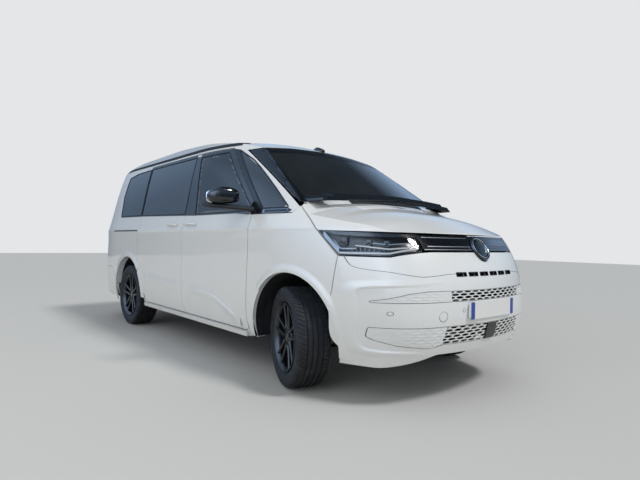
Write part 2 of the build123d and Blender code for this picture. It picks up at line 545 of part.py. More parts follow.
def rim():
    """Rim with ten thin spokes in five pairs, hub with its bolt holes, and the brake disc behind. Outside is -Y."""
    barrel = about_axle([(212, -98, 0), (236, -108, 3), (238, -92, 3), (226, -84, 4), (222, 84, 4), (238, 92, 3),
                         (236, 104, 3), (208, 98, 4), (206, -60, 20)])
    shape = barrel + rod(0, 0, 72, -OUT_OFFSET, -20)
    for pair in range(SPOKE_PAIRS):
        for lean in (-1, 1):
            points = [(lean * 22 - 13, 50, 0), (lean * 22 + 13, 50, 0), (lean * 46 + 11, 216, 0),
                      (lean * 46 - 11, 216, 0)]
            slab = prism(points, SIDE_VIEW, 56, 92)
            shape = shape + Rot(0, pair * 360 / SPOKE_PAIRS, 0) * slab
    shape = shape - rod(0, 0, 28, -200, -60)
    for i in range(HUB_BOLTS):
        angle = radians(90 + i * 360 / HUB_BOLTS)
        shape = shape - rod(HUB_BOLT_RADIUS * cos(angle), HUB_BOLT_RADIUS * sin(angle), 8, -120, -40)
    disc = rod(0, 0, 165, -14, 14) + rod(0, 0, 75, -30, 30)
    return main_solid(shape + disc)


def knuckle():
    """Right front knuckle about the origin: hub carrier, caliper and steering arm. The wheel is outside, at -Y."""
    shape = rod(0, 0, 45, 34, 92)
    shape = shape + prism([(-30, -112, 0), (30, -112, 0), (48, 0, 30), (35, 150, 0), (-35, 150, 0), (-48, 0, 30)],
                          SIDE_VIEW, -100, -60)
    shape = shape + block(-25, 25, 60, 130, -112, -90) + block(88, 150, -12, 60, -60, 60) - rod(0, 0, 170, -17, 18)
    shape = shape + block(30, 100, 36, 90, -60, 60) + block(-160, -30, 60, 90, -70, -45)
    return main_solid(shape)


one_tyre, one_rim, one_knuckle = tyre(), rim(), knuckle()
wheel_y = {"right": -HALF_TRACK, "left": HALF_TRACK}
for side in ("right", "left"):
    kingpin = Pos(FRONT_AXLE_X, wheel_y[side] / HALF_TRACK * KINGPIN_Y, 0)
    steer = kingpin * Rot(0, 0, STEER_REST) * kingpin.inverse()
    flip = Rot(0, 0, 0) if side == "right" else Rot(0, 0, 180)
    front_place = steer * Pos(FRONT_AXLE_X, wheel_y[side], TYRE_RADIUS) * flip
    rear_place = Pos(REAR_AXLE_X, wheel_y[side], TYRE_RADIUS) * flip
    carrier = one_knuckle if side == "right" else mirror(one_knuckle, Plane.XZ)
    nodes["tyre_front_" + side] = front_place * one_tyre
    nodes["rim_front_" + side] = front_place * one_rim
    nodes["tyre_rear_" + side] = rear_place * one_tyre
    nodes["rim_rear_" + side] = rear_place * one_rim
    nodes["knuckle_" + side] = steer * Pos(FRONT_AXLE_X, wheel_y[side], TYRE_RADIUS) * carrier

# Small outer pieces
MIRROR_SHELL = [(905, 1262, 25), (1010, 1270, 50), (1030, 1330, 60), (985, 1400, 45), (900, 1408, 25)]
mirror_shell = prism(MIRROR_SHELL, SIDE_VIEW, 1000, 1195)
stalk = prism([(960, 1228, 10), (1060, 1228, 10), (1010, 1290, 10), (950, 1290, 10)], SIDE_VIEW, 930, 1010)
mirror_right = main_solid((mirror_shell + stalk) - outer)
nodes["mirror_right"] = mirror_right
nodes["mirror_left"] = mirrored(mirror_right)
tail_zone = prism([(-2800, 1070, 20), (-2330, 1070, 50), (-2330, 1190, 50), (-2800, 1190, 20)], SIDE_VIEW, 400, 1200)
tail_lamp = main_solid((wall_shell & tail_zone) - tailgate_clear)
nodes["tail_lamps"] = Compound([tail_lamp, mirrored(tail_lamp)])
nodes["side_frame_right"] = main_solid(nodes["side_frame_right"] - tail_zone)
nodes["side_frame_left"] = mirrored(nodes["side_frame_right"])
canvas_plan = grow(ROOF_OPENING, 26)
canvas = prism(canvas_plan, TOP_VIEW, 1861, 1892) - prism(grow(canvas_plan, -22), TOP_VIEW, 1800, 1950)
nodes["roof_canvas"] = main_solid(canvas)
cowl_zone = prism([(1500, -777, 0), (1740, -777, 0), (1740, 777, 0), (1500, 777, 0)], TOP_VIEW, 1100, 1400)
cowl = (skin_shell & cowl_zone) - prism(BONNET_PLAN, TOP_VIEW, 900, 1700) - windscreen_seat
cowl = cowl & prism([(1560, 1150, 0), (1800, 1150, 0), (1800, 1400, 0), (1560, 1400, 0)], SIDE_VIEW, -835, 835)
# The bonnet's rear edge swings back as it lifts, so the cowl is cut along its whole travel, with a gap of 6 mm
swing = Axis((BONNET_HINGE[0], 0, BONNET_HINGE[1]), (0, -1, 0))
bonnet_edge = prism(grow(BONNET_PLAN, 6), TOP_VIEW, 1150, 1312)
for angle in range(0, BONNET_TRAVEL + 1, 5):
    cowl = cowl - bonnet_edge.rotate(swing, angle)
print("cowl", [round(s.volume / 1e3) for s in solids_of(cowl)])
nodes["cowl"] = main_solid(cowl)

os.makedirs("parts", exist_ok=True)
for name, shape in nodes.items():
    export_step(shape, "parts/" + name + ".step")
print(len(nodes), "nodes")
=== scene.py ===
"""Looks of the camper van: panels, glass, lamps, grilles, wheels, cabin and canvas, dressed over the
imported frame.

Lengths are metres in the frame of the CAD model: +X to the nose, +Y to the van's own left, +Z up, the
ground at zero. Each new shape is a grid of points worked out as whole arrays, and each docstring gives its
formula in words.
"""
from __future__ import annotations

import json
import logging
import math
from collections.abc import Callable
from dataclasses import dataclass, field
from enum import Enum

import bmesh
import bpy
import numpy as np
from mathutils import Matrix

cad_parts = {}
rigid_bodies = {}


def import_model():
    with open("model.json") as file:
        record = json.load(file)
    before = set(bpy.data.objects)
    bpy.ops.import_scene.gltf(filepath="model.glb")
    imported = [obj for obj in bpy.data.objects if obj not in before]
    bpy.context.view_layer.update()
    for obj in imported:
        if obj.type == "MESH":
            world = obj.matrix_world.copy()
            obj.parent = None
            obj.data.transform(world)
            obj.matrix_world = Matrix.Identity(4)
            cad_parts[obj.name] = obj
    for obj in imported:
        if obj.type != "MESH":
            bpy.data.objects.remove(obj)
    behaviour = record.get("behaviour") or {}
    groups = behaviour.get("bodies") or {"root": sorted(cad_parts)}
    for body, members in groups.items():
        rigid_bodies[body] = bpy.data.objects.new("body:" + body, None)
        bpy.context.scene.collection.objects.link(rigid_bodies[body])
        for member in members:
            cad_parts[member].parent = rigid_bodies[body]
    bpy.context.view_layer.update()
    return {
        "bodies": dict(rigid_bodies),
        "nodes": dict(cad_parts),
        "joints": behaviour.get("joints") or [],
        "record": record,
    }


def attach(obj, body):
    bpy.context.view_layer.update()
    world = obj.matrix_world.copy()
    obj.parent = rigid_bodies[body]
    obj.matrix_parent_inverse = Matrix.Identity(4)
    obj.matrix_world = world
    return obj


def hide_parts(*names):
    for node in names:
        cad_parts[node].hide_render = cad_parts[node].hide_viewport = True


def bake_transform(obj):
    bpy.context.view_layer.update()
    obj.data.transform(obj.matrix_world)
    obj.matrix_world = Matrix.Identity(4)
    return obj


log = logging.getLogger("camper")
Array = np.ndarray
Socket = bpy.types.NodeSocket
MM = 0.001
ARCH_HEIGHT = 0.375  # middle of the wheel arches' round part over the ground
COWL_HALF = 0.42  # half width of the black plastic part under the windscreen
PILLAR_LEAN = 0.02  # how far the door pillars' edges lean to the rear, per metre of height


class Side(Enum):
    """Side of the van, seen from its driver's seat: the value is the sign of Y."""

    RIGHT = -1
    LEFT = 1

    @property
    def label(self) -> str:
        """Lower-case name, as the CAD nodes and bodies end with it."""
        return self.name.lower()


def linear(code: str) -> tuple[float, float, float, float]:
    """Turn a colour from its written form to the renderer's.

    Args:
        code: sRGB colour as #RRGGBB.

    Returns:
        Linear red, green, blue and an alpha of 1.
    """
    srgb = np.array([int(code[i : i + 2], 16) for i in (1, 3, 5)]) / 255
    value = np.where(srgb <= 0.04045, srgb / 12.92, ((srgb + 0.055) / 1.055) ** 2.4)
    return (*value.tolist(), 1.0)


def add(
    tree: bpy.types.NodeTree, kind: str, settings: dict | None = None, links: dict | None = None
) -> bpy.types.Node:
    """Add one shader node.

    Args:
        tree: the material's node tree.
        kind: Blender's name of the node's type.
        settings: values by input name or number, or by the node's own property name.
        links: sockets to join, by input name or number.

    Returns:
        The new node.
    """
    node = tree.nodes.new(kind)
    for name, value in (settings or {}).items():
        if isinstance(name, int) or name in node.inputs:
            node.inputs[name].default_value = value
        else:
            setattr(node, name, value)
    for name, socket in (links or {}).items():
        tree.links.new(socket, node.inputs[name])
    return node


@dataclass(frozen=True)
class Finish:
    """A plain finish: one dielectric surface. Its subclasses add what their real material shows."""

    name: str
    colour: str
    roughness: float = 0.5

    def material(self) -> bpy.types.Material:
        """The finish's material, made the first time it is asked for."""
        return bpy.data.materials.get(self.name) or self.make()

    def make(self) -> bpy.types.Material:
        """Make the material with its shader and output, then dress it.

        Returns:
            The finished material.
        """
        material = bpy.data.materials.new(self.name)
        material.use_nodes = True
        tree = material.node_tree
        tree.nodes.clear()
        shader = add(
            tree, "ShaderNodeBsdfPrincipled",
            {"Base Color": linear(self.colour), "Roughness": self.roughness}
        )
        place = add(tree, "ShaderNodeTexCoord").outputs["Object"]
        self.dress(tree, shader, place)
        add(tree, "ShaderNodeOutputMaterial", links={"Surface": shader.outputs[0]})
        material.diffuse_color = linear(self.colour)
        return material

    def dress(self, tree: bpy.types.NodeTree, shader: bpy.types.Node, place: Socket) -> None:
        """Add nothing: a plain finish is its shader alone."""

    def shade(self, tree: bpy.types.NodeTree, shader: bpy.types.Node, amount: Socket, other: str) -> Socket:
        """Mix the base colour with another one by a pattern.

        Args:
            tree: the material's node tree.
            shader: the shader whose base colour is driven.
            amount: 0 for the finish's colour, 1 for the other.
            other: the other colour, as #RRGGBB.

        Returns:
            The mixed colour's socket.
        """
        mix = add(tree, "ShaderNodeMix", {"data_type": "RGBA"}, {0: amount})
        mix.inputs[6].default_value, mix.inputs[7].default_value = linear(self.colour), linear(other)
        tree.links.new(mix.outputs[2], shader.inputs["Base Color"])
        return mix.outputs[2]

    def relief(self, tree: bpy.types.NodeTree, shader: bpy.types.Node, height: Socket, depth: float) -> None:
        """Give the shader a bump from a height pattern, with its depth in metres."""
        bump = add(tree, "ShaderNodeBump", {"Strength": 1.0, "Distance": depth}, {"Height": height})
        tree.links.new(bump.outputs[0], shader.inputs["Normal"])


@dataclass(frozen=True)
class Paint(Finish):
    """Solid two-layer car enamel, sprayed and clear-coated: a mirror-like coat over a matt colour, with
    the faint waves of orange peel, and road dust that thickens towards the sills."""

    dust: str = "#B9B4A8"
    peel_mm: float = 9.0
    coat: float = 1.0

    def dress(self, tree: bpy.types.NodeTree, shader: bpy.types.Node, place: Socket) -> None:
        """Coat, orange peel (drawn at 9 mm so that it shows in highlights) and dust below knee height."""
        shader.inputs["Coat Weight"].default_value = self.coat
        shader.inputs["Coat Roughness"].default_value = 0.03
        height = add(tree, "ShaderNodeSeparateXYZ", links={0: place}).outputs[2]
        low = add(
            tree, "ShaderNodeMapRange", {"From Min": 0.65, "From Max": 0.2, "To Max": 0.35}, {0: height}
        ).outputs[0]
        cloud = add(tree, "ShaderNodeTexNoise", {"Scale": 7.0, "Detail": 5.0}, {"Vector": place}).outputs[0]
        film = add(tree, "ShaderNodeMath", {"operation": "MULTIPLY"}, {0: low, 1: cloud}).outputs[0]
        self.shade(tree, shader, film, self.dust)
        peel = add(
            tree, "ShaderNodeTexNoise", {"Scale": 1000 / self.peel_mm, "Detail": 1.0}, {"Vector": place}
        ).outputs[0]
        self.relief(tree, shader, peel, 0.00004)


@dataclass(frozen=True)
class Moulding(Finish):
    """Injection-moulded polymer such as ABS or PP: a leathery grain of fine cells, a little lighter on its
    ridges."""

    grain_mm: float = 2.5
    depth: float = 0.00015
    light: str = "#3A3B3D"

    def dress(self, tree: bpy.types.NodeTree, shader: bpy.types.Node, place: Socket) -> None:
        """Cell grain as bump, with wear as a broad cloud of a lighter tone."""
        cells = add(
            tree, "ShaderNodeTexVoronoi", {"Scale": 1000 / self.grain_mm}, {"Vector": place}
        ).outputs["Distance"]
        cloud = add(tree, "ShaderNodeTexNoise", {"Scale": 9.0, "Detail": 6.0}, {"Vector": place}).outputs[0]
        faint = add(
            tree, "ShaderNodeMapRange", {"From Min": 0.45, "From Max": 0.85, "To Max": 0.5}, {0: cloud}
        ).outputs[0]
        self.shade(tree, shader, faint, self.light)
        self.relief(tree, shader, cells, self.depth)


@dataclass(frozen=True)
class GlossMoulding(Finish):
    """Polymer moulded in a polished tool or lacquered: piano black and lamp housings, smooth with the
    faintest waves."""

    coat: float = 0.6

    def dress(self, tree: bpy.types.NodeTree, shader: bpy.types.Node, place: Socket) -> None:
        """Clear coat over the colour, and a light film of dust in its roughness."""
        shader.inputs["Coat Weight"].default_value = self.coat
        shader.inputs["Coat Roughness"].default_value = 0.04
        cloud = add(tree, "ShaderNodeTexNoise", {"Scale": 40.0, "Detail": 4.0}, {"Vector": place}).outputs[0]
        haze = add(
            tree, "ShaderNodeMapRange", {"To Min": self.roughness, "To Max": self.roughness + 0.12},
            {0: cloud}
        ).outputs[0]
        tree.links.new(haze, shader.inputs["Roughness"])


class Working(Enum):
    """How a metal's surface was left by its making."""

    POLISHED = 0.00001
    MACHINED = 0.00006
    CAST = 0.0006


@dataclass(frozen=True)
class Metal(Finish):
    """Bare or plated metal: its colour is its reflection, and its grain is what machining, casting or
    polishing left."""

    working: Working = Working.POLISHED
    grain_mm: float = 2.0
    stain: str = "#6B6259"

    def dress(self, tree: bpy.types.NodeTree, shader: bpy.types.Node, place: Socket) -> None:
        """Metallic base, stains by a cloud and the working's grain as bump."""
        shader.inputs["Metallic"].default_value = 1.0
        cloud = add(tree, "ShaderNodeTexNoise", {"Scale": 22.0, "Detail": 6.0}, {"Vector": place}).outputs[0]
        spots = add(
            tree, "ShaderNodeMapRange", {"From Min": 0.5, "From Max": 0.8, "To Max": 0.5}, {0: cloud}
        ).outputs[0]
        self.shade(tree, shader, spots, self.stain)
        grain = add(
            tree, "ShaderNodeTexNoise", {"Scale": 1000 / self.grain_mm, "Detail": 3.0},
            {"Vector": place}
        ).outputs[0]
        self.relief(tree, shader, grain, self.working.value)


@dataclass(frozen=True)
class Rubber(Finish):
    """Vulcanised rubber: carbon black with a dusty bloom, matt, with a fine skin."""

    bloom: str = "#4A4845"
    bloom_from: float = 0.5

    def dress(self, tree: bpy.types.NodeTree, shader: bpy.types.Node, place: Socket) -> None:
        """Dusty bloom in clouds, and a 1.5 mm skin as bump."""
        cloud = add(
            tree, "ShaderNodeTexNoise", {"Scale": 14.0, "Detail": 8.0, "Roughness": 0.65},
            {"Vector": place}
        ).outputs[0]
        dust = add(
            tree, "ShaderNodeMapRange", {"From Min": self.bloom_from, "From Max": 0.8, "To Max": 0.8},
            {0: cloud}
        ).outputs[0]
        self.shade(tree, shader, dust, self.bloom)
        skin = add(tree, "ShaderNodeTexNoise", {"Scale": 650.0}, {"Vector": place}).outputs[0]
        self.relief(tree, shader, skin, 0.0001)


@dataclass(frozen=True)
class Glazing(Finish):
    """Float glass or clear polycarbonate: it lets light through straight on and turns to a mirror at a
    grazing view."""

    clear: float = 0.25
    rim: float = 0.9

    def dress(self, tree: bpy.types.NodeTree, shader: bpy.types.Node, place: Socket) -> None:
        """Opacity from the view's Fresnel share, between clear straight on and rim at the edge."""
        shader.inputs["IOR"].default_value = 1.52
        shader.inputs["Coat Weight"].default_value = 1.0
        shader.inputs["Coat Roughness"].default_value = 0.0
        edge = add(tree, "ShaderNodeFresnel", {"IOR": 1.52}).outputs[0]
        haze = add(tree, "ShaderNodeTexNoise", {"Scale": 3.0, "Detail": 4.0}, {"Vector": place}).outputs[0]
        self.shade(
            tree, shader,
            add(tree, "ShaderNodeMath", {"operation": "MULTIPLY", 1: 0.06}, {0: haze}).outputs[0],
            "#C9CCC8"
        )
        alpha = add(
            tree, "ShaderNodeMapRange",
            {"From Min": 0.04, "From Max": 0.6, "To Min": self.clear, "To Max": self.rim}, {0: edge}
        )
        tree.links.new(alpha.outputs[0], shader.inputs["Alpha"])


@dataclass(frozen=True)
class Cloth(Finish):
    """Woven cloth: warp and weft threads that cross at right angles, with a soft sheen from their fuzz."""

    thread_mm: float = 4.0
    weft: str = "#55585C"
    sheen: float = 0.35

    def dress(self, tree: bpy.types.NodeTree, shader: bpy.types.Node, place: Socket) -> None:
        """Two sets of bands at the thread's pitch, drawn at 4 mm so that the weave shows, plus fuzz."""
        shader.inputs["Sheen Weight"].default_value = self.sheen
        shader.inputs["Sheen Roughness"].default_value = 0.5
        scale = 1000 / self.thread_mm / 2 / math.pi * 0.5
        warp, weft = (
            add(
                tree, "ShaderNodeTexWave", {"bands_direction": axis, "Scale": scale, "Distortion": 0.6},
                {"Vector": place}
            ).outputs[1]
            for axis in ("Y", "Z")
        )
        cross = add(tree, "ShaderNodeMath", {"operation": "MULTIPLY"}, {0: warp, 1: weft}).outputs[0]
        self.shade(tree, shader, cross, self.weft)
        self.relief(tree, shader, cross, 0.0008)


@dataclass(frozen=True)
class Laminate(Finish):
    """Printed laminate on board, such as a camper's cupboard fronts: a pale grain stretched along X."""

    grain: str = "#B9B2A6"

    def dress(self, tree: bpy.types.NodeTree, shader: bpy.types.Node, place: Socket) -> None:
        """Noise squeezed across the grain and drawn out along it."""
        turn = add(tree, "ShaderNodeMapping", {"Scale": (3.0, 40.0, 60.0)}, {"Vector": place}).outputs[0]
        grain = add(tree, "ShaderNodeTexNoise", {"Scale": 1.0, "Detail": 6.0}, {"Vector": turn}).outputs[0]
        self.shade(tree, shader, grain, self.grain)


@dataclass(frozen=True)
class Palette:
    """All finishes of the van, each named for its real material and how it was made."""

    paint: Finish = Paint("enamel_white_clearcoated", "#E6E8E8", 0.42)
    shell: Finish = Paint("enamel_silver_grey_satin", "#BFC3C7", 0.38, peel_mm=7.0)
    glass: Finish = Glazing("float_glass_laminated_green_tint", "#070B09", 0.02, clear=0.66)
    privacy: Finish = Glazing("float_glass_body_tinted", "#050607", 0.02, clear=0.86, rim=0.98)
    door_glass: Finish = Glazing("float_glass_tempered", "#0A0F14", 0.02, clear=0.52)
    frit: Finish = GlossMoulding("ceramic_frit_fired_black", "#08090A", 0.2, coat=0.2)
    gloss_black: Finish = GlossMoulding("abs_lacquered_piano_black", "#0A0B0C", 0.12)
    lens: Finish = Glazing("polycarbonate_hard_coated_clear", "#23272A", 0.03, clear=0.06, rim=0.5)
    red_lens: Finish = GlossMoulding("pmma_moulded_red", "#8E0F12", 0.1, coat=1.0)
    lamp_black: Finish = GlossMoulding("pc_abs_lamp_housing_black", "#101113", 0.28, coat=0.3)
    guide: Finish = GlossMoulding("pmma_light_guide_frosted", "#E9EEF2", 0.25, coat=0.8)
    silver: Finish = Metal("aluminium_vapour_plated_satin", "#9DA2A6", 0.42, stain="#8E9397")
    chrome: Finish = Metal("chrome_vapour_plated", "#DADCDD", 0.06, stain="#C9CBCC")
    plastic: Finish = Moulding("polypropylene_grained_black", "#17181A", 0.55)
    rubber: Finish = Rubber("epdm_gasket_extruded", "#0C0C0D", 0.7, bloom_from=0.6)
    tyre: Finish = Rubber("tyre_rubber_vulcanised", "#101011", 0.72, bloom="#3B3936", bloom_from=0.5)
    rim: Finish = GlossMoulding("aluminium_wheel_powder_coated_black", "#0C0D0F", 0.3, coat=0.5)
    disc: Finish = Metal("cast_iron_turned_brake_disc", "#8B8A88", 0.32, Working.MACHINED, stain="#6E5A48")
    casting: Finish = Metal("cast_steel_as_cast", "#5D5B58", 0.6, Working.CAST, 5.0)
    bolt: Finish = Metal("steel_zinc_plated_black", "#2A2B2D", 0.4, Working.MACHINED)
    chassis: Finish = Moulding("steel_electrocoated_black", "#141516", 0.45, light="#3B372F")
    liner: Finish = Moulding("needle_felt_wheel_liner", "#0D0D0E", 0.9, grain_mm=6.0, depth=0.0005)
    exhaust: Finish = Metal("stainless_steel_drawn_tube", "#8C877F", 0.38, Working.MACHINED, stain="#7A5C3E")
    alloy: Finish = Metal("aluminium_sand_cast", "#8D8F90", 0.55, Working.CAST, 6.0)
    seat: Finish = Cloth("seat_cloth_woven_anthracite", "#2E3034", 0.9, weft="#4A4D52")
    bolster: Finish = Moulding(
        "leatherette_embossed_dark_grey", "#232427", 0.5, grain_mm=4.0, depth=0.0003, light="#37383B"
    )
    dash: Finish = Moulding("tpo_slush_moulded_slate", "#26282B", 0.6, grain_mm=3.5, depth=0.0002)
    laminate: Finish = Laminate("hpl_laminate_pressed_oak_grey", "#CFC9BD", 0.45)
    canvas: Finish = Cloth(
        "canvas_polyester_cotton_grey", "#6C7075", 0.9, thread_mm=5.0, weft="#8B8F93", sheen=0.1
    )
    plate: Finish = GlossMoulding("plate_retroreflective_white_sheet", "#E4E6E4", 0.35, coat=0.4)
    plate_blue: Finish = GlossMoulding("plate_retroreflective_blue_band", "#123C9C", 0.35, coat=0.4)
    screen: Finish = GlossMoulding("display_glass_dark", "#08090C", 0.08, coat=1.0)
    floor: Finish = Finish("studio_floor_matt_pale", "#C6C6C3", 0.9)


FINISH = Palette()


def smoothstep(t: Array) -> Array:
    """Ease from 0 to 1 with level ends: 3t² − 2t³, held outside 0 to 1."""
    t = np.clip(t, 0, 1)
    return t * t * (3 - 2 * t)


def turn(points: Array, degrees: float, axis: int, centre: tuple[float, float, float] = (0, 0, 0)) -> Array:
    """Turn points about an axis through a centre.

    Args:
        points: array that ends in three coordinates.
        degrees: angle by the right-hand rule.
        axis: 0, 1 or 2 for X, Y or Z.
        centre: a point on the axis.

    Returns:
        The turned points.
    """
    a = math.radians(degrees)
    i, j = (axis + 1) % 3, (axis + 2) % 3
    out = np.array(points, float) - centre
    p, q = out[..., i].copy(), out[..., j].copy()
    out[..., i], out[..., j] = p * math.cos(a) - q * math.sin(a), p * math.sin(a) + q * math.cos(a)
    return out + centre


@dataclass
class Surface:
    """Points and faces of a mesh in the making."""

    points: Array
    faces: list[Array]

    @classmethod
    def grid(
        cls, points: Array, wrap_rows: bool = False, wrap_cols: bool = False, capped: bool = False
    ) -> Surface:
        """Join a grid of points into quads.

        Args:
            points: rows by columns by three.
            wrap_rows: whether the last row joins the first.
            wrap_cols: whether the last column joins the first.
            capped: whether the first and last rows are closed by a fan about their middle.

        Returns:
            The surface.
        """
        rows, cols = points.shape[:2]
        index = np.arange(rows * cols).reshape(rows, cols)
        down = np.roll(index, -1, 0) if wrap_rows else index[1:]
        here = index if wrap_rows else index[:-1]
        if not wrap_cols:
            quads = np.stack([here[:, :-1], here[:, 1:], down[:, 1:], down[:, :-1]], -1)
        else:
            quads = np.stack([here, np.roll(here, -1, 1), np.roll(down, -1, 1), down], -1)
        flat, faces = points.reshape(-1, 3), [quads.reshape(-1, 4)]
        if capped:
            flat = np.vstack([flat, points[0].mean(0), points[-1].mean(0)])
            for row, middle in ((index[0], rows * cols), (index[-1], rows * cols + 1)):
                faces.append(np.stack([row, np.roll(row, -1), np.full(cols, middle)], -1))
        return cls(flat, faces)

    @classmethod
    def slab(cls, front: Array, back: Array) -> Surface:
        """Closed sheet between two grids of the same shape, with walls round its four edges."""
        ring = np.concatenate([front, back[:, ::-1]], 1)
        body = cls.grid(ring, wrap_cols=True)
        cols = front.shape[1]
        lip = np.arange(2 * cols)
        ends = [
            np.stack([row[: cols - 1], row[1:cols], row[::-1][1:cols], row[::-1][: cols - 1]], -1)
            for row in (lip, lip + (front.shape[0] - 1) * 2 * cols)
        ]
        return cls(body.points, body.faces + ends)

    @classmethod
    def tube(
        cls, path: Array, radius: Array | float, sides: int = 12, flat: float = 1.0,
        closed: bool = False
    ) -> Surface:
        """Round or oval bar carried along a path.

        The section is a circle in the plane across the path's tangent, whose second axis is scaled by flat.

        Args:
            path: points by three.
            radius: one radius, or one for each point.
            sides: points round the section.
            flat: height of the section over its width.
            closed: whether the path returns to its start.

        Returns:
            The surface, with its ends closed.
        """
        path = np.asarray(path, float)
        tangent = np.roll(path, -1, 0) - np.roll(path, 1, 0) if closed else np.gradient(path, axis=0)
        tangent /= np.linalg.norm(tangent, axis=1)[:, None]
        guide = np.array([0.0, 0.0, 1.0]) if abs(tangent[:, 2]).mean() < 0.8 else np.array([1.0, 0.0, 0.0])
        across = np.cross(tangent, guide)
        across /= np.linalg.norm(across, axis=1)[:, None]
        up = np.cross(across, tangent)
        a = np.linspace(0, 2 * np.pi, sides, endpoint=False)
        r = np.broadcast_to(np.asarray(radius, float), (len(path),))[:, None, None]
        ring = across[:, None] * np.cos(a)[None, :, None] + up[:, None] * (flat * np.sin(a))[None, :, None]
        return cls.grid(path[:, None] + ring * r, wrap_rows=closed, wrap_cols=True, capped=not closed)

    @classmethod
    def turned(
        cls, profile: Array, centre: tuple[float, float, float], axis: int = 1, steps: int = 64,
        closed: bool = False
    ) -> Surface:
        """Profile of (radius, distance along the axis) spun about an axis through a centre.

        A point at angle a lies at radius × (cos a, sin a) across the axis.

        Args:
            profile: points by two.
            centre: where the axis's zero is.
            axis: 0, 1 or 2 for X, Y or Z.
            steps: points round a turn.
            closed: whether the profile's last point joins its first.

        Returns:
            The surface.
        """
        a = np.linspace(0, 2 * np.pi, steps, endpoint=False)[:, None]
        r, along = profile[None, :, 0], profile[None, :, 1]
        out = np.zeros((steps, len(profile), 3))
        out[..., (axis + 1) % 3], out[..., (axis + 2) % 3] = r * np.cos(a), r * np.sin(a)
        out[..., axis] = along
        return cls.grid(out + centre, wrap_rows=True, wrap_cols=closed)

    @classmethod
    def pillow(
        cls, centre: tuple, half: tuple, power: float = 4.0, steps: tuple[int, int] = (24, 48)
    ) -> Surface:
        """Rounded box: a superellipsoid with the given half sizes, where |x|^p + |y|^p + |z|^p = 1.

        Args:
            centre: its middle.
            half: half its size along X, Y and Z.
            power: 2 for an ellipsoid, more for a squarer box.
            steps: points from pole to pole and round.

        Returns:
            The closed surface.
        """
        v = np.linspace(-np.pi / 2, np.pi / 2, steps[0])[:, None]
        u = np.linspace(0, 2 * np.pi, steps[1], endpoint=False)[None, :]
        ray = np.stack([np.cos(v) * np.cos(u), np.cos(v) * np.sin(u), np.sin(v) * np.ones_like(u)], -1)
        length = (np.abs(ray) ** power).sum(-1) ** (-1 / power)
        return cls.grid(ray * length[..., None] * half + centre, wrap_cols=True)

    def __add__(self, other: Surface) -> Surface:
        """Both surfaces as one mesh."""
        shift = len(self.points)
        return Surface(np.vstack([self.points, other.points]), self.faces + [f + shift for f in other.faces])

    def mirrored(self) -> Surface:
        """The same shape on the other side of the van, with its faces turned back outwards."""
        return Surface(self.points * (1, -1, 1), [f[:, ::-1] for f in self.faces])

    def on(self, side: Side) -> Surface:
        """A shape made for the right side, as it is on that side or mirrored."""
        return self if side is Side.RIGHT else self.mirrored()

    def build(
        self, name: str, finish: Finish, body: str, angle: float = 35, thick: float = 0.0
    ) -> bpy.types.Object:
        """Make the mesh object, with its faces outwards and its edges sharp past an angle.

        Args:
            name: the piece's name.
            finish: its finish.
            body: the CAD body that it rides on.
            angle: edges bent by more degrees than this stay sharp.
            thick: thickness of a sheet, in metres, added by a Solidify modifier, or 0.

        Returns:
            The finished piece.
        """
        mesh = bpy.data.meshes.new(name)
        mesh.from_pydata(self.points.tolist(), [], [f for block in self.faces for f in block.tolist()])
        work = bmesh.new()
        work.from_mesh(mesh)
        bmesh.ops.remove_doubles(work, verts=work.verts, dist=0.00001)
        bmesh.ops.recalc_face_normals(work, faces=work.faces)
        work.to_mesh(mesh)
        work.free()
        return finish_piece(mesh, name, finish, body, angle, thick)


def finish_piece(
    mesh: bpy.types.Mesh, name: str, finish: Finish, body: str, angle: float, thick: float = 0.0
) -> bpy.types.Object:
    """Put a mesh into the scene as a piece: smooth, dressed and riding on its body.

    Args:
        mesh: the mesh.
        name: the piece's name.
        finish: its finish.
        body: the CAD body that it rides on.
        angle: edges bent by more degrees than this stay sharp.
        thick: thickness of a sheet, or 0.

    Returns:
        The piece.
    """
    mesh.shade_smooth()
    mesh.set_sharp_from_angle(angle=math.radians(angle))
    mesh.materials.append(finish.material())
    piece = bpy.data.objects.new(name, mesh)
    bpy.context.scene.collection.objects.link(piece)
    if thick:
        wall = piece.modifiers.new("wall", "SOLIDIFY")
        wall.thickness, wall.offset = thick, -1
    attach(piece, body)
    log.info("%s: %d faces", name, len(mesh.polygons))
    return piece


def follow(table: Array, z: Array, column: int) -> Array:
    """Read a column of a table of heights by a monotone cubic: each height's slope is the weighted
    harmonic mean of the slopes beside it.

    Args:
        table: rows that start with their height, lowest first.
        z: heights to read at.
        column: which column.

    Returns:
        The values.
    """
    x, y = table[:, 0], table[:, column]
    h = np.diff(x)
    d = np.diff(y) / h
    m = np.concatenate([d[:1], np.zeros(len(d) - 1), d[-1:]])
    w1, w2 = 2 * h[1:] + h[:-1], h[1:] + 2 * h[:-1]
    ok = d[1:] * d[:-1] > 0
    m[1:-1][ok] = ((w1 + w2)[ok]) / (w1[ok] / d[:-1][ok] + w2[ok] / d[1:][ok])
    i = np.clip(np.searchsorted(x, z) - 1, 0, len(h) - 1)
    t = (z - x[i]) / h[i]
    a, b = (1 + 2 * t) * (1 - t) ** 2, t * t * (3 - 2 * t)
    return y[i] * a + y[i + 1] * b + h[i] * (m[i] * t * (1 - t) ** 2 - m[i + 1] * t * t * (1 - t))


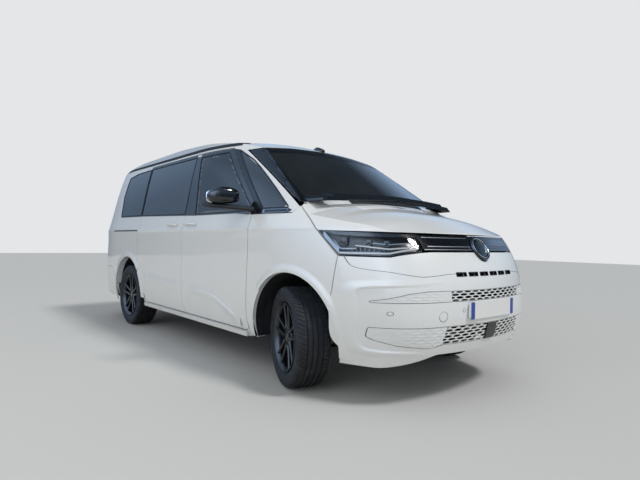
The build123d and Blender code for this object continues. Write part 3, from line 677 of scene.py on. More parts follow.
@dataclass(frozen=True)
class BodyForm:
    """The van's outer form, as the CAD model has it: plan outlines of tangent arcs below a crowned
    silhouette."""

    crease: float = 1.095
    nose_break: float = math.radians(15)
    shoulder_break: float = math.radians(65)
    quarter_break: float = math.radians(84)
    tail_break: float = math.radians(10)
    quarter_radius: float = 4.0
    crown_axis: float = -2.2
    lower: Array = field(
        default_factory=lambda: MM
        * np.array(
            [
                (170, 900, 2440, -2490), (245, 923, 2489.5, -2529.2), (310, 937.6, 2523.4, -2553.6),
                (375, 948.4, 2549.9, -2571), (440, 956.1, 2569.6, -2582.7), (505, 961.2, 2582.8, -2589.5),
                (570, 964.4, 2589.8, -2592.5), (635, 966, 2590.7, -2592.3), (700, 966.5, 2585.4, -2589.6),
                (765, 966.3, 2573.9, -2585.1), (830, 965.7, 2555.8, -2579.2), (895, 965.3, 2530.8, -2572.6),
                (960, 965.4, 2498.2, -2566.1), (1025, 966.6, 2457.1, -2560.3), (1095, 970, 2402, -2556),
            ]
        )
    )
    upper: Array = field(
        default_factory=lambda: MM
        * np.array(
            [
                (1095, 970, 2402, -2556), (1130, 960, 2350, -2550.1), (1170, 949.4, 2287.4, -2543.3),
                (1217, 938, 2210, -2535), (1260, 928.5, 2135.9, -2527.2), (1310, 918.2, 2046.5, -2517.6),
                (1360, 908.5, 1954.4, -2507.4), (1420, 897.3, 1841.7, -2494.2), (1500, 882, 1690, -2475),
                (1570, 867.8, 1557.7, -2456.6), (1640, 852.3, 1426.7, -2436.7), (1710, 835.3, 1297.3, -2415.6),
                (1780, 816.9, 1168.8, -2393.3), (1850, 797, 1040, -2370), (1920, 776, 909.2, -2346),
                (2050, 735, 650, -2300),
            ]
        )
    )
    rounds_low: Array = field(
        default_factory=lambda: MM * np.array([
            (170, 1900, 2000, 150), (450, 1900, 2000, 200), (800, 1900, 2000, 210), (1095, 1900, 2000, 200)
        ])
    )
    rounds_up: Array = field(
        default_factory=lambda: MM
        * np.array([
            (1095, 1900, 2000, 200), (1217, 1850, 2000, 190), (1500, 1700, 2000, 175),
            (1850, 1500, 2000, 165), (2050, 1400, 2000, 160)
        ])
    )
    silhouette: Array = field(
        default_factory=lambda: MM
        * np.array(
            [
                (2800, 880, 0), (2440, 1072, 300), (2150, 1200, 900), (1720, 1300, 60), (860, 1845, 500),
                (560, 1925, 900), (150, 1985, 2000), (-500, 2005, 5000), (-1700, 1985, 4000),
                (-2330, 1890, 250), (-2700, 1600, 0),
            ]
        )
    )

    def outline(self, z: Array, upper: Array) -> list[Array]:
        """Half width, nose, tail, nose radius, shoulder radius and rear corner radius at heights z."""
        zl, zu = np.minimum(z, self.crease), np.maximum(z, self.crease)
        first = [np.where(upper, follow(self.upper, zu, k), follow(self.lower, zl, k)) for k in (1, 2, 3)]
        rest = [
            np.where(
                upper, np.interp(zu, self.rounds_up[:, 0], self.rounds_up[:, k]),
                np.interp(zl, self.rounds_low[:, 0], self.rounds_low[:, k])
            )
            for k in (1, 2, 3)
        ]
        return first + rest

    def side_depth(self, p: Array, upper: Array) -> Array:
        """Depth of points inside their level's outline, measured in plan.

        The outline is a chain of tangent arcs; a point belongs to the arc whose span of headings holds its
        own heading from that arc's centre, and its depth is the arc's radius less its distance to that
        centre.
        """
        x, y, z = p[..., 0], np.abs(p[..., 1]), p[..., 2]
        w, nose, tail, rn, rs, rc = self.outline(z, upper)
        a, b, c, d = self.nose_break, self.shoulder_break, self.quarter_break, self.tail_break
        q = self.quarter_radius
        corner = (w - rn * math.sin(a) - rs * (1 - math.sin(b))) / (math.sin(b) - math.sin(a))
        x1, y1 = nose - rn * (1 - math.cos(a)), rn * math.sin(a)
        x3 = x1 - corner * (math.cos(a) - math.cos(b)) - rs * math.cos(b)
        rt = (w - q * (1 - math.sin(c)) - rc * (math.sin(c) - math.sin(d))) / math.sin(d)
        x5, y5 = tail + rt * (1 - math.cos(d)), rt * math.sin(d)
        x6 = x5 + rc * (math.cos(d) - math.cos(c)) + q * math.cos(c)
        pi = math.pi
        arcs = [
            (nose - rn, 0 * w, rn, 0, a),
            (x1 - corner * math.cos(a), y1 - corner * math.sin(a), corner, a, b),
            (x3, w - rs, rs, b, pi / 2),
            (x6, w - q, q, pi / 2, pi - c),
            (x5 + rc * math.cos(d), y5 - rc * math.sin(d), rc, pi - c, pi - d),
            (tail + rt, 0 * w, rt, pi - d, pi + 0.1),
        ]
        depth = w - y
        for cx, cy, r, low, high in arcs:
            heading = np.arctan2(y - cy, x - cx)
            heading = np.where(heading < -1.0, heading + 2 * pi, heading)
            inside = (heading >= low) & (heading <= high) & (r > 0)
            depth = np.where(inside, r - np.hypot(x - cx, y - cy), depth)
        return depth

    def top_height(self, x: Array) -> Array:
        """Height of the silhouette at x: its corner points, each rounded by an arc tangent to both of its
        lines."""
        s = self.silhouette
        before, after = s[:-2, :2] - s[1:-1, :2], s[2:, :2] - s[1:-1, :2]
        before /= np.linalg.norm(before, axis=1)[:, None]
        after /= np.linalg.norm(after, axis=1)[:, None]
        half = np.arccos(np.clip((before * after).sum(1), -1, 1)) / 2
        middle = before + after
        middle /= np.linalg.norm(middle, axis=1)[:, None]
        centre = s[1:-1, :2] + middle * (s[1:-1, 2] / np.sin(half))[:, None]
        reach = s[1:-1, 2] / np.tan(half)
        start, end = s[1:-1, :2] + before * reach[:, None], s[1:-1, :2] + after * reach[:, None]
        z = np.interp(x, s[::-1, 0], s[::-1, 1])
        for c, r, a, b in zip(centre, s[1:-1, 2], start, end):
            here = (x <= a[0]) & (x >= b[0])
            z = np.where(here, c[1] + np.sqrt(np.maximum(r**2 - (x - c[0]) ** 2, 0)), z)
        return z

    def top_depth(self, p: Array) -> Array:
        """Depth below the crown: the silhouette is turned about a long axis far below the van."""
        return self.top_height(p[..., 0]) - self.crown_axis - np.hypot(p[..., 1], p[..., 2] - self.crown_axis)

    def depth(self, p: Array) -> Array:
        """Smaller of both depths: above 0 inside the van, below 0 outside."""
        return np.minimum(self.side_depth(p, p[..., 2] > self.crease), self.top_depth(p))

    def slope(self, p: Array, reader: str, upper: Array) -> Array:
        """Outward unit normal of the side or top form: minus the gradient of its depth, by central
        differences."""
        read = (lambda q: self.top_depth(q)) if reader == "top" else (lambda q: self.side_depth(q, upper))
        step = 0.002 * np.eye(3)
        grad = np.stack([read(p - s) - read(p + s) for s in step], -1)
        return grad / np.maximum(np.linalg.norm(grad, axis=-1), 1e-12)[..., None]

    def normal(self, p: Array) -> Array:
        """Outward unit normal at points on or near the form."""
        upper = p[..., 2] > self.crease
        top = self.top_depth(p) < self.side_depth(p, upper)
        return np.where(top[..., None], self.slope(p, "top", upper), self.slope(p, "side", upper))

    def cast(self, start: Array, direction: Array, lift: Array | float = 0.0, reach: float = 3.0) -> Array:
        """Where rays from inside the van leave its form, moved out along the normal.

        The crossing is found by halving the stretch of each ray that holds it, 23 times.

        Args:
            start: points inside the form.
            direction: unit directions, of the same shape.
            lift: metres to move outwards, below 0 for inwards.
            reach: the longest ray.

        Returns:
            The points.
        """
        start, direction = np.broadcast_arrays(np.asarray(start, float), np.asarray(direction, float))
        low, high = np.zeros(start.shape[:-1]), np.full(start.shape[:-1], reach)
        for _ in range(23):
            mid = (low + high) / 2
            inside = self.depth(start + direction * mid[..., None]) > 0
            low, high = np.where(inside, mid, low), np.where(inside, high, mid)
        hit = start + direction * ((low + high) / 2)[..., None]
        return hit + self.normal(hit) * np.asarray(lift)[..., None]

    def from_side(self, x: Array, z: Array, lift: Array | float = 0.0) -> Array:
        """Points of the right flank at given x and z."""
        x, z = np.broadcast_arrays(x, z)
        return self.cast(np.stack([x, 0 * x, z], -1), np.array([0.0, -1.0, 0.0]), lift)

    def from_front(self, y: Array, z: Array, lift: Array | float = 0.0) -> Array:
        """Points of the nose at given y and z."""
        y, z = np.broadcast_arrays(y, z)
        return self.cast(np.stack([0 * y + 0.4, y, z], -1), np.array([1.0, 0.0, 0.0]), lift)

    def from_rear(self, y: Array, z: Array, lift: Array | float = 0.0) -> Array:
        """Points of the tail at given y and z."""
        y, z = np.broadcast_arrays(y, z)
        return self.cast(np.stack([0 * y - 1.0, y, z], -1), np.array([-1.0, 0.0, 0.0]), lift)

    def from_top(self, x: Array, y: Array, lift: Array | float = 0.0) -> Array:
        """Points of the roof or bonnet at given x and y."""
        x, y = np.broadcast_arrays(x, y)
        return self.cast(np.stack([x, y, 0 * x + 0.7], -1), np.array([0.0, 0.0, 1.0]), lift)

    def round_corner(self, heading: Array, z: Array, middle: float, lift: Array | float = 0.0) -> Array:
        """Points at given headings, in degrees from +X, about an upright line at x = middle."""
        heading, z = np.broadcast_arrays(heading, z)
        a = np.radians(heading)
        way = np.stack([np.cos(a), np.sin(a), 0 * a], -1)
        return self.cast(np.stack([0 * z + middle, 0 * z, z], -1), way, lift)


FORM = BodyForm()


def spread(a: Array | float, b: Array | float, count: int) -> Array:
    """Rows that run evenly from a to b, both of which may be arrays."""
    t = np.linspace(0, 1, count).reshape(-1, *[1] * np.ndim(a))
    return a * (1 - t) + b * t


def resample(points: list[tuple[float, ...]] | Array, count: int, closed: bool = False) -> Array:
    """Points evenly spaced by length along straight lines through the given ones."""
    p = np.array(points, float)
    p = np.vstack([p, p[:1]]) if closed else p
    s = np.concatenate([[0], np.cumsum(np.linalg.norm(np.diff(p, axis=0), axis=1))])
    t = np.linspace(0, s[-1], count, endpoint=not closed)
    return np.stack([np.interp(t, s, p[:, k]) for k in range(p.shape[1])], -1)


def curve(points: list[tuple[float, ...]] | Array, count: int, closed: bool = False) -> Array:
    """Smooth line through the given points: Catmull-Rom pieces, each a cubic of its four nearest points."""
    p = np.array(points, float)
    n = len(p)
    u = np.linspace(0, n if closed else n - 1, count, endpoint=not closed)
    i = np.minimum(u.astype(int), n - 1 if closed else n - 2)
    t = (u - i)[:, None]
    pick = (lambda k: p[k % n]) if closed else (lambda k: p[np.clip(k, 0, n - 1)])
    a, b, c, d = pick(i - 1), pick(i), pick(i + 1), pick(i + 2)
    return 0.5 * (2 * b + (c - a) * t + (2 * a - 5 * b + 4 * c - d) * t**2 + (3 * b - a - 3 * c + d) * t**3)


def inset_line(line: Array, width: float, closed: bool = True) -> Array:
    """A plane outline moved to its own left by a width: each point goes along the mean normal of its two
    lines."""
    ahead = np.roll(line, -1, 0) - line
    behind = line - np.roll(line, 1, 0)
    if not closed:
        ahead[-1], behind[0] = ahead[-2], behind[1]
    mean = ahead / np.linalg.norm(ahead, axis=1)[:, None] + behind / np.linalg.norm(behind, axis=1)[:, None]
    mean /= np.linalg.norm(mean, axis=1)[:, None]
    return line + np.stack([-mean[:, 1], mean[:, 0]], -1) * width


def ribbon(
    view: str, line: Array, width: float, lift: float, depth: float, rows: int = 3, closed: bool = True
) -> Surface:
    """Flat bar that runs along an outline on the body's form.

    Its top is a grid between the outline and the outline moved left by the width, cast onto the form from
    a view and lifted; its foot is the same grid sunk by the depth.

    Args:
        view: "side", "front", "rear" or "top", the view that the outline is drawn in.
        line: points by two of the outline, in metres.
        width: the bar's width, to the left of the line's run.
        lift: height of its top above the form.
        depth: how far its foot is below its top.
        rows: rows across.
        closed: whether the line returns to its start.

    Returns:
        The closed surface.
    """
    other = inset_line(line, width, closed)
    plan = spread(line, other, rows)
    plan = np.concatenate([plan, plan[:, :1]], 1) if closed else plan
    cast = getattr(FORM, "from_" + view)
    top, foot = (cast(plan[..., 0], plan[..., 1], h) for h in (lift, lift - depth))
    if closed:
        ring = np.concatenate([top, foot[::-1]], 0)[:, :-1]
        return Surface.grid(ring, wrap_rows=True, wrap_cols=True)
    return Surface.slab(top, foot)


def patch(view: str, low: Array, high: Array, lift: float, depth: float, rows: int = 6) -> Surface:
    """Plate on the form between two lines of the same count: a grid ruled between them, cast onto the form.

    Args:
        view: the view that the lines are drawn in.
        low: points by two of one edge.
        high: points by two of the other edge.
        lift: height of its face above the form.
        depth: how far its back is below its face.
        rows: rows from edge to edge.

    Returns:
        The closed surface.
    """
    plan = spread(low, high, rows)
    cast = getattr(FORM, "from_" + view)
    return Surface.slab(*(cast(plan[..., 0], plan[..., 1], h) for h in (lift, lift - depth)))


def level_strip(
    view: str, along: Array, heights: tuple[float, float], lift: float, depth: float, rows: int = 6
) -> Surface:
    """Plate on the form whose edges run level at two heights, over the given x or y."""
    low, high = (np.stack([along, np.full_like(along, z)], -1) for z in heights)
    return patch(view, low, high, lift, depth, rows)


class CadCopies:
    """Smooth copies of the CAD model's own panels, which keep its shapes to the millimetre."""

    def __init__(self, nodes: dict[str, bpy.types.Object]) -> None:
        """Remember the frame's nodes by name."""
        self.nodes = nodes

    def arrays(self, node: str) -> tuple[Array, Array]:
        """Points and triangles of a node, with points at one place merged into one."""
        mesh = self.nodes[node].data
        points = np.zeros(len(mesh.vertices) * 3, np.float32)
        mesh.vertices.foreach_get("co", points)
        corners = np.zeros(len(mesh.loops), np.int32)
        mesh.loops.foreach_get("vertex_index", corners)
        points, back = np.unique(np.round(points.reshape(-1, 3), 5), axis=0, return_inverse=True)
        triangles = back.reshape(-1)[corners].reshape(-1, 3)
        whole = (triangles != np.roll(triangles, -1, axis=1)).all(axis=1)
        return points, triangles[whole]

    def on_form(self, points: Array, triangles: Array, limit: float = 0.93) -> Array:
        """Normals for each triangle's corners.

        A face that lies along the outer form, or along the form brought inwards, takes the form's own
        normal at each corner; any other face stays flat.

        Args:
            points: the mesh's points.
            triangles: the mesh's triangles.
            limit: the least cosine between a face and the form for it to count as lying along it.

        Returns:
            Triangles by three corners by three.
        """
        corner = points[triangles].astype(float)
        flat = np.cross(corner[:, 1] - corner[:, 0], corner[:, 2] - corner[:, 0])
        flat /= np.maximum(np.linalg.norm(flat, axis=1), 1e-15)[:, None]
        upper = np.repeat((corner.mean(1)[:, 2] > FORM.crease)[:, None], 3, 1)
        out = np.repeat(flat[:, None], 3, 1)
        best = np.full(len(flat), limit)
        for reader in ("side", "top"):
            way = FORM.slope(corner, reader, upper)
            match = (way.mean(1) * flat).sum(1)
            better = np.abs(match) > best
            out[better] = way[better] * np.sign(match[better])[:, None, None]
            best = np.where(better, np.abs(match), best)
        return out

    def panel(
        self, node: str, name: str, finish: Finish, body: str,
        keep: Callable[[Array], Array] | None = None
    ) -> bpy.types.Object:
        """Copy a panel, give it the form's normals and let it stand for its node.

        Args:
            node: the CAD node.
            name: the piece's name.
            finish: its finish.
            body: the body that it rides on.
            keep: tells from the triangles' middles which of them to copy, where not all are.

        Returns:
            The piece.
        """
        points, triangles = self.arrays(node)
        if keep is not None:
            triangles = triangles[keep(points[triangles].mean(1))]
            used, back = np.unique(triangles, return_inverse=True)
            points, triangles = points[used], back.reshape(-1, 3)
        normals = self.on_form(points, triangles)
        mesh = bpy.data.meshes.new(name)
        mesh.from_pydata(points.tolist(), [], triangles.tolist())
        piece = finish_piece(mesh, name, finish, body, 30)
        mesh.normals_split_custom_set(normals.reshape(-1, 3).tolist())
        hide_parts(node)
        return piece

    def smooth(self, node: str, name: str, finish: Finish, body: str, angle: float = 32) -> bpy.types.Object:
        """Copy a node whose faces are smooth up to an angle, and let it stand for the node."""
        points, triangles = self.arrays(node)
        piece = Surface(points, [triangles]).build(name, finish, body, angle)
        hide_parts(node)
        return piece


@dataclass
class Panels:
    """Painted sheet panels and moulded bumpers, each a copy of its CAD solid with the form's own normals."""

    copies: CadCopies
    painted: dict[str, str] = field(
        default_factory=lambda: {
            "side_frame_right": "body", "side_frame_left": "body", "sliding_doors": "body", "wings": "body",
            "roof_frame": "body", "front_bumper": "body", "rear_bumper": "body", "bonnet": "bonnet",
            "front_door_right": "front_door_right", "front_door_left": "front_door_left",
            "tailgate": "tailgate",
        }
    )

    def make(self) -> None:
        """Make every panel, and the pop-up roof's shell in its own colour."""
        for node, body in self.painted.items():
            self.copies.panel(node, "panel_" + node, FINISH.paint, body)
        self.copies.panel("pop_roof", "panel_pop_roof", FINISH.shell, "pop_roof")
        middle = self.copies.panel(
            "cowl", "panel_cowl", FINISH.plastic, "body", lambda m: np.abs(m[:, 1]) < COWL_HALF
        )
        self.copies.panel(
            "cowl", "panel_cowl_ends", FINISH.paint, "body", lambda m: np.abs(m[:, 1]) >= COWL_HALF
        )


@dataclass
class Glass:
    """Window panes with their fired black borders and rubber gaskets."""

    copies: CadCopies
    border: float = 0.045
    gasket: float = 0.009

    def panes(self) -> None:
        """Copy each CAD pane as clear, tinted or privacy glass."""
        for node, finish, body in (
            ("windscreen", FINISH.glass, "body"), ("side_glass", FINISH.privacy, "body"),
            ("door_glass_right", FINISH.door_glass, "front_door_right"),
            ("door_glass_left", FINISH.door_glass, "front_door_left"),
            ("tailgate_glass", FINISH.privacy, "tailgate"),
        ):
            self.copies.panel(node, "pane_" + node, finish, body)

    def windscreen(self) -> None:
        """Fired border of the windscreen, and its gasket."""
        edge = MM * np.array([
            (-822, 1292), (-400, 1318), (0, 1330), (400, 1318), (822, 1292), (704, 1790), (350, 1818),
            (0, 1827), (-350, 1818), (-704, 1790)
        ])
        line = resample(edge, 160, closed=True)
        border = ribbon("front", inset_line(line, 0.003), self.border, 0.0008, 0.0004, 4)
        border.build("windscreen_border", FINISH.frit, "body")
        gasket = ribbon("front", inset_line(line, -0.0015), 0.006, 0.0014, 0.0015)
        gasket.build("windscreen_gasket", FINISH.frit, "body")

    def side(self, side: Side) -> None:
        """Gaskets and borders of one side's panes, and the gloss covers between them."""
        door = "front_door_" + side.label
        door_pane = MM * np.array([(168, 1240), (1080, 1240), (1080, 1283), (484, 1784), (42, 1784)])
        slide_pane = MM * np.array([(-1188, 1270), (-58, 1246), (-58, 1796), (-1188, 1796)])
        quarter = MM * np.array([
            (-1890, 1278), (-1216, 1270), (-1216, 1796), (-1640, 1786), (-1885, 1752), (-1937, 1531)
        ])
        light = MM * np.array([
            (1250, 1250), (1505, 1250), (1290, 1400), (1120, 1512), (985, 1598), (850, 1678), (603, 1795)
        ])
        for name, outline, body in (
            ("door", door_pane, door), ("sliding", slide_pane, "body"), ("quarter", quarter, "body"),
            ("front_light", light, "body")
        ):
            line = resample(outline, 120, closed=True)
            strip = ribbon("side", inset_line(line, -0.006), self.gasket, 0.0042, 0.009)
            strip.on(side).build(f"gasket_{name}_{side.label}", FINISH.rubber, body)
        z = np.linspace(1.232, 1.800, 40)
        rear_edge = np.interp(z, [1.240, 1.784], [0.162, 0.036])
        cover = patch(
            "side", np.stack([-0.0415 - PILLAR_LEAN * (z - 1.24), z], -1),
            np.stack([rear_edge, z], -1), 0.0025, 0.004, 5
        )
        cover.on(side).build("pillar_cover_door_" + side.label, FINISH.gloss_black, door)
        z = np.linspace(1.232, 1.806, 40)
        cover = patch(
            "side", np.stack([-0.0700 - PILLAR_LEAN * (z - 1.24), z], -1),
            np.stack([-0.0450 - PILLAR_LEAN * (z - 1.24), z], -1), 0.0025, 0.004, 3
        )
        cover.on(side).build("pillar_cover_sliding_" + side.label, FINISH.gloss_black, "body")
        for name, low, high, finish, body in (
            (
                "division_door", ((1.083, 1.243), (1.082, 1.283), (0.486, 1.784)),
                ((1.140, 1.243), (1.1371, 1.2925), (0.5133, 1.8175)), FINISH.gloss_black, door
            ),
            (
                "division_body", ((1.1445, 1.243), (1.1417, 1.2925), (0.5201, 1.8158)),
                ((1.250, 1.243), (1.198, 1.286), (0.604, 1.800)), FINISH.frit, "body"
            ),
            (
                "head_trim_door", ((0.036, 1.790), (0.490, 1.790)), ((0.020, 1.818), (0.508, 1.818)),
                FINISH.gloss_black, door
            ),
            (
                "head_trim_sliding", ((-1.206, 1.800), (-0.064, 1.800)),
                ((-1.206, 1.820), (-0.070, 1.820)), FINISH.gloss_black, "body"
            ),
        ):
            low, high = (resample(np.array(line), 50) for line in (low, high))
            patch("side", low, high, 0.0032, 0.005, 6).on(side).build(f"{name}_{side.label}", finish, body)
        z = np.linspace(1.262, 1.806, 40)
        cover = patch(
            "side", np.stack([np.full(40, -1.217), z], -1), np.stack([np.full(40, -1.207), z], -1),
            0.002, 0.004, 2
        )
        cover.on(side).build("pillar_cover_rear_" + side.label, FINISH.gloss_black, "body")

    def make(self) -> None:
        """Make all panes and their trim."""
        self.panes()
        self.windscreen()
        for side in Side:
            self.side(side)


@dataclass
class Studio:
    """Plain pale floor, soft light and the camera where the photograph was taken from."""

    place: tuple[float, float, float] = (4.248, -2.905, 1.006)
    yaw: float = 139.62
    pitch: float = 0.25
    roll: float = 1.07
    focal_px: float = 479.9
    frame_px: float = 640.0

    def camera(self) -> None:
        """Camera from the solved place, heading, pitch and roll; its lens is the focal length on a 36 mm
        frame."""
        yaw, pitch, roll = (math.radians(v) for v in (self.yaw, self.pitch, self.roll))
        ahead = np.array([math.cos(pitch) * math.cos(yaw), math.cos(pitch) * math.sin(yaw), math.sin(pitch)])
        right = np.cross(ahead, [0, 0, 1])
        right /= np.linalg.norm(right)
        up = np.cross(right, ahead)
        across = right * math.cos(roll) + up * math.sin(roll)
        upright = up * math.cos(roll) - right * math.sin(roll)
        data = bpy.data.cameras.new("camera")
        data.lens, data.sensor_width = self.focal_px / self.frame_px * 36, 36
        camera = bpy.data.objects.new("camera", data)
        turned = np.eye(4)
        turned[:3, :3], turned[:3, 3] = np.stack([across, upright, -ahead], 1), self.place
        camera.matrix_world = Matrix(turned.tolist())
        bpy.context.scene.collection.objects.link(camera)
        bpy.context.scene.camera = camera

    def world(self) -> None:
        """World that lights plainly and shows pale to the camera, to gloss and through glass."""
        world = bpy.data.worlds.new("studio_world")
        world.use_nodes = True
        tree = world.node_tree
        tree.nodes.clear()
        path = add(tree, "ShaderNodeLightPath").outputs
        seen = add(
            tree, "ShaderNodeMath", {"operation": "MAXIMUM"},
            {0: path["Is Camera Ray"], 1: path["Is Transmission Ray"]}
        ).outputs[0]
        strength = add(tree, "ShaderNodeMapRange", {"To Min": 0.50, "To Max": 0.86}, {0: seen}).outputs[0]
        heading = add(
            tree, "ShaderNodeSeparateXYZ", links={0: add(tree, "ShaderNodeTexCoord").outputs[0]}
        ).outputs
        sky = add(
            tree, "ShaderNodeMapRange",
            {"From Min": -0.02, "From Max": 0.35, "To Min": 0.10, "To Max": 0.80}, {0: heading[2]}
        ).outputs[0]
        away = add(
            tree, "ShaderNodeMapRange", {"From Min": -0.2, "From Max": 0.35}, {0: heading[1]}
        ).outputs[0]
        steep = add(
            tree, "ShaderNodeMapRange", {"From Min": 0.37, "From Max": 0.55}, {0: heading[2]}
        ).outputs[0]
        shade = add(tree, "ShaderNodeMath", {"operation": "MULTIPLY"}, {0: away, 1: steep}).outputs[0]
        wood = add(tree, "ShaderNodeMapRange", {"To Min": 1.0, "To Max": 0.10}, {0: shade}).outputs[0]
        open_side = add(
            tree, "ShaderNodeMapRange",
            {"From Min": -0.85, "From Max": -0.35, "To Min": 4.2, "To Max": 1.1}, {0: heading[1]}
        ).outputs[0]
        sky = add(tree, "ShaderNodeMath", {"operation": "MULTIPLY"}, {0: sky, 1: wood}).outputs[0]
        sky = add(tree, "ShaderNodeMath", {"operation": "MULTIPLY"}, {0: sky, 1: open_side}).outputs[0]
        strength = add(
            tree, "ShaderNodeMix", {"data_type": "FLOAT"},
            {0: path["Is Glossy Ray"], 2: strength, 3: sky}
        ).outputs[0]
        tint = add(
            tree, "ShaderNodeMix", {"data_type": "RGBA", 6: linear("#F4F6F8"), 7: linear("#A8C8EE")},
            {0: path["Is Glossy Ray"]}
        ).outputs[2]
        light = add(tree, "ShaderNodeBackground", links={"Color": tint, "Strength": strength})
        add(tree, "ShaderNodeOutputWorld", links={"Surface": light.outputs[0]})
        bpy.context.scene.world = world

    def lights(self) -> None:
        """A soft sun from the front right, and a broad area light over the roof."""
        for name, kind, power, size, place, aim in (
            ("key", "SUN", 1.55, 0.20, (6, 3, 7), (-0.55, -0.24, -0.80)),
            ("fill", "AREA", 120, 6.0, (3.0, -7.0, 4.0), (-0.35, 0.80, -0.45)),
        ):
            data = bpy.data.lights.new(name, kind)
            data.energy = power
            if kind == "SUN":
                data.angle = size
            else:
                data.size = size
            lamp = bpy.data.objects.new(name, data)
            back = -np.array(aim) / np.linalg.norm(aim)
            side = np.cross([0, 0, 1], back)
            side /= np.linalg.norm(side)
            turned = np.eye(4)
            turned[:3, :3], turned[:3, 3] = np.stack([side, np.cross(back, side), back], 1), place
            lamp.matrix_world = Matrix(turned.tolist())
            bpy.context.scene.collection.objects.link(lamp)

    def floor(self) -> None:
        """Level floor, 60 m across, at the ground."""
        corners = np.array([[(-30, -30, 0), (30, -30, 0)], [(-30, 30, 0), (30, 30, 0)]], float)
        plane = Surface.grid(corners)
        mesh = bpy.data.meshes.new("studio_floor")
        mesh.from_pydata(plane.points.tolist(), [], plane.faces[0].tolist())
        mesh.materials.append(FINISH.floor.material())
        ground = bpy.data.objects.new("studio_floor", mesh)
        bpy.context.scene.collection.objects.link(ground)

    def make(self) -> None:
        """Set up the whole studio."""
        self.camera()
        self.world()
        self.lights()
        self.floor()
        bpy.context.scene.view_settings.view_transform = "Standard"


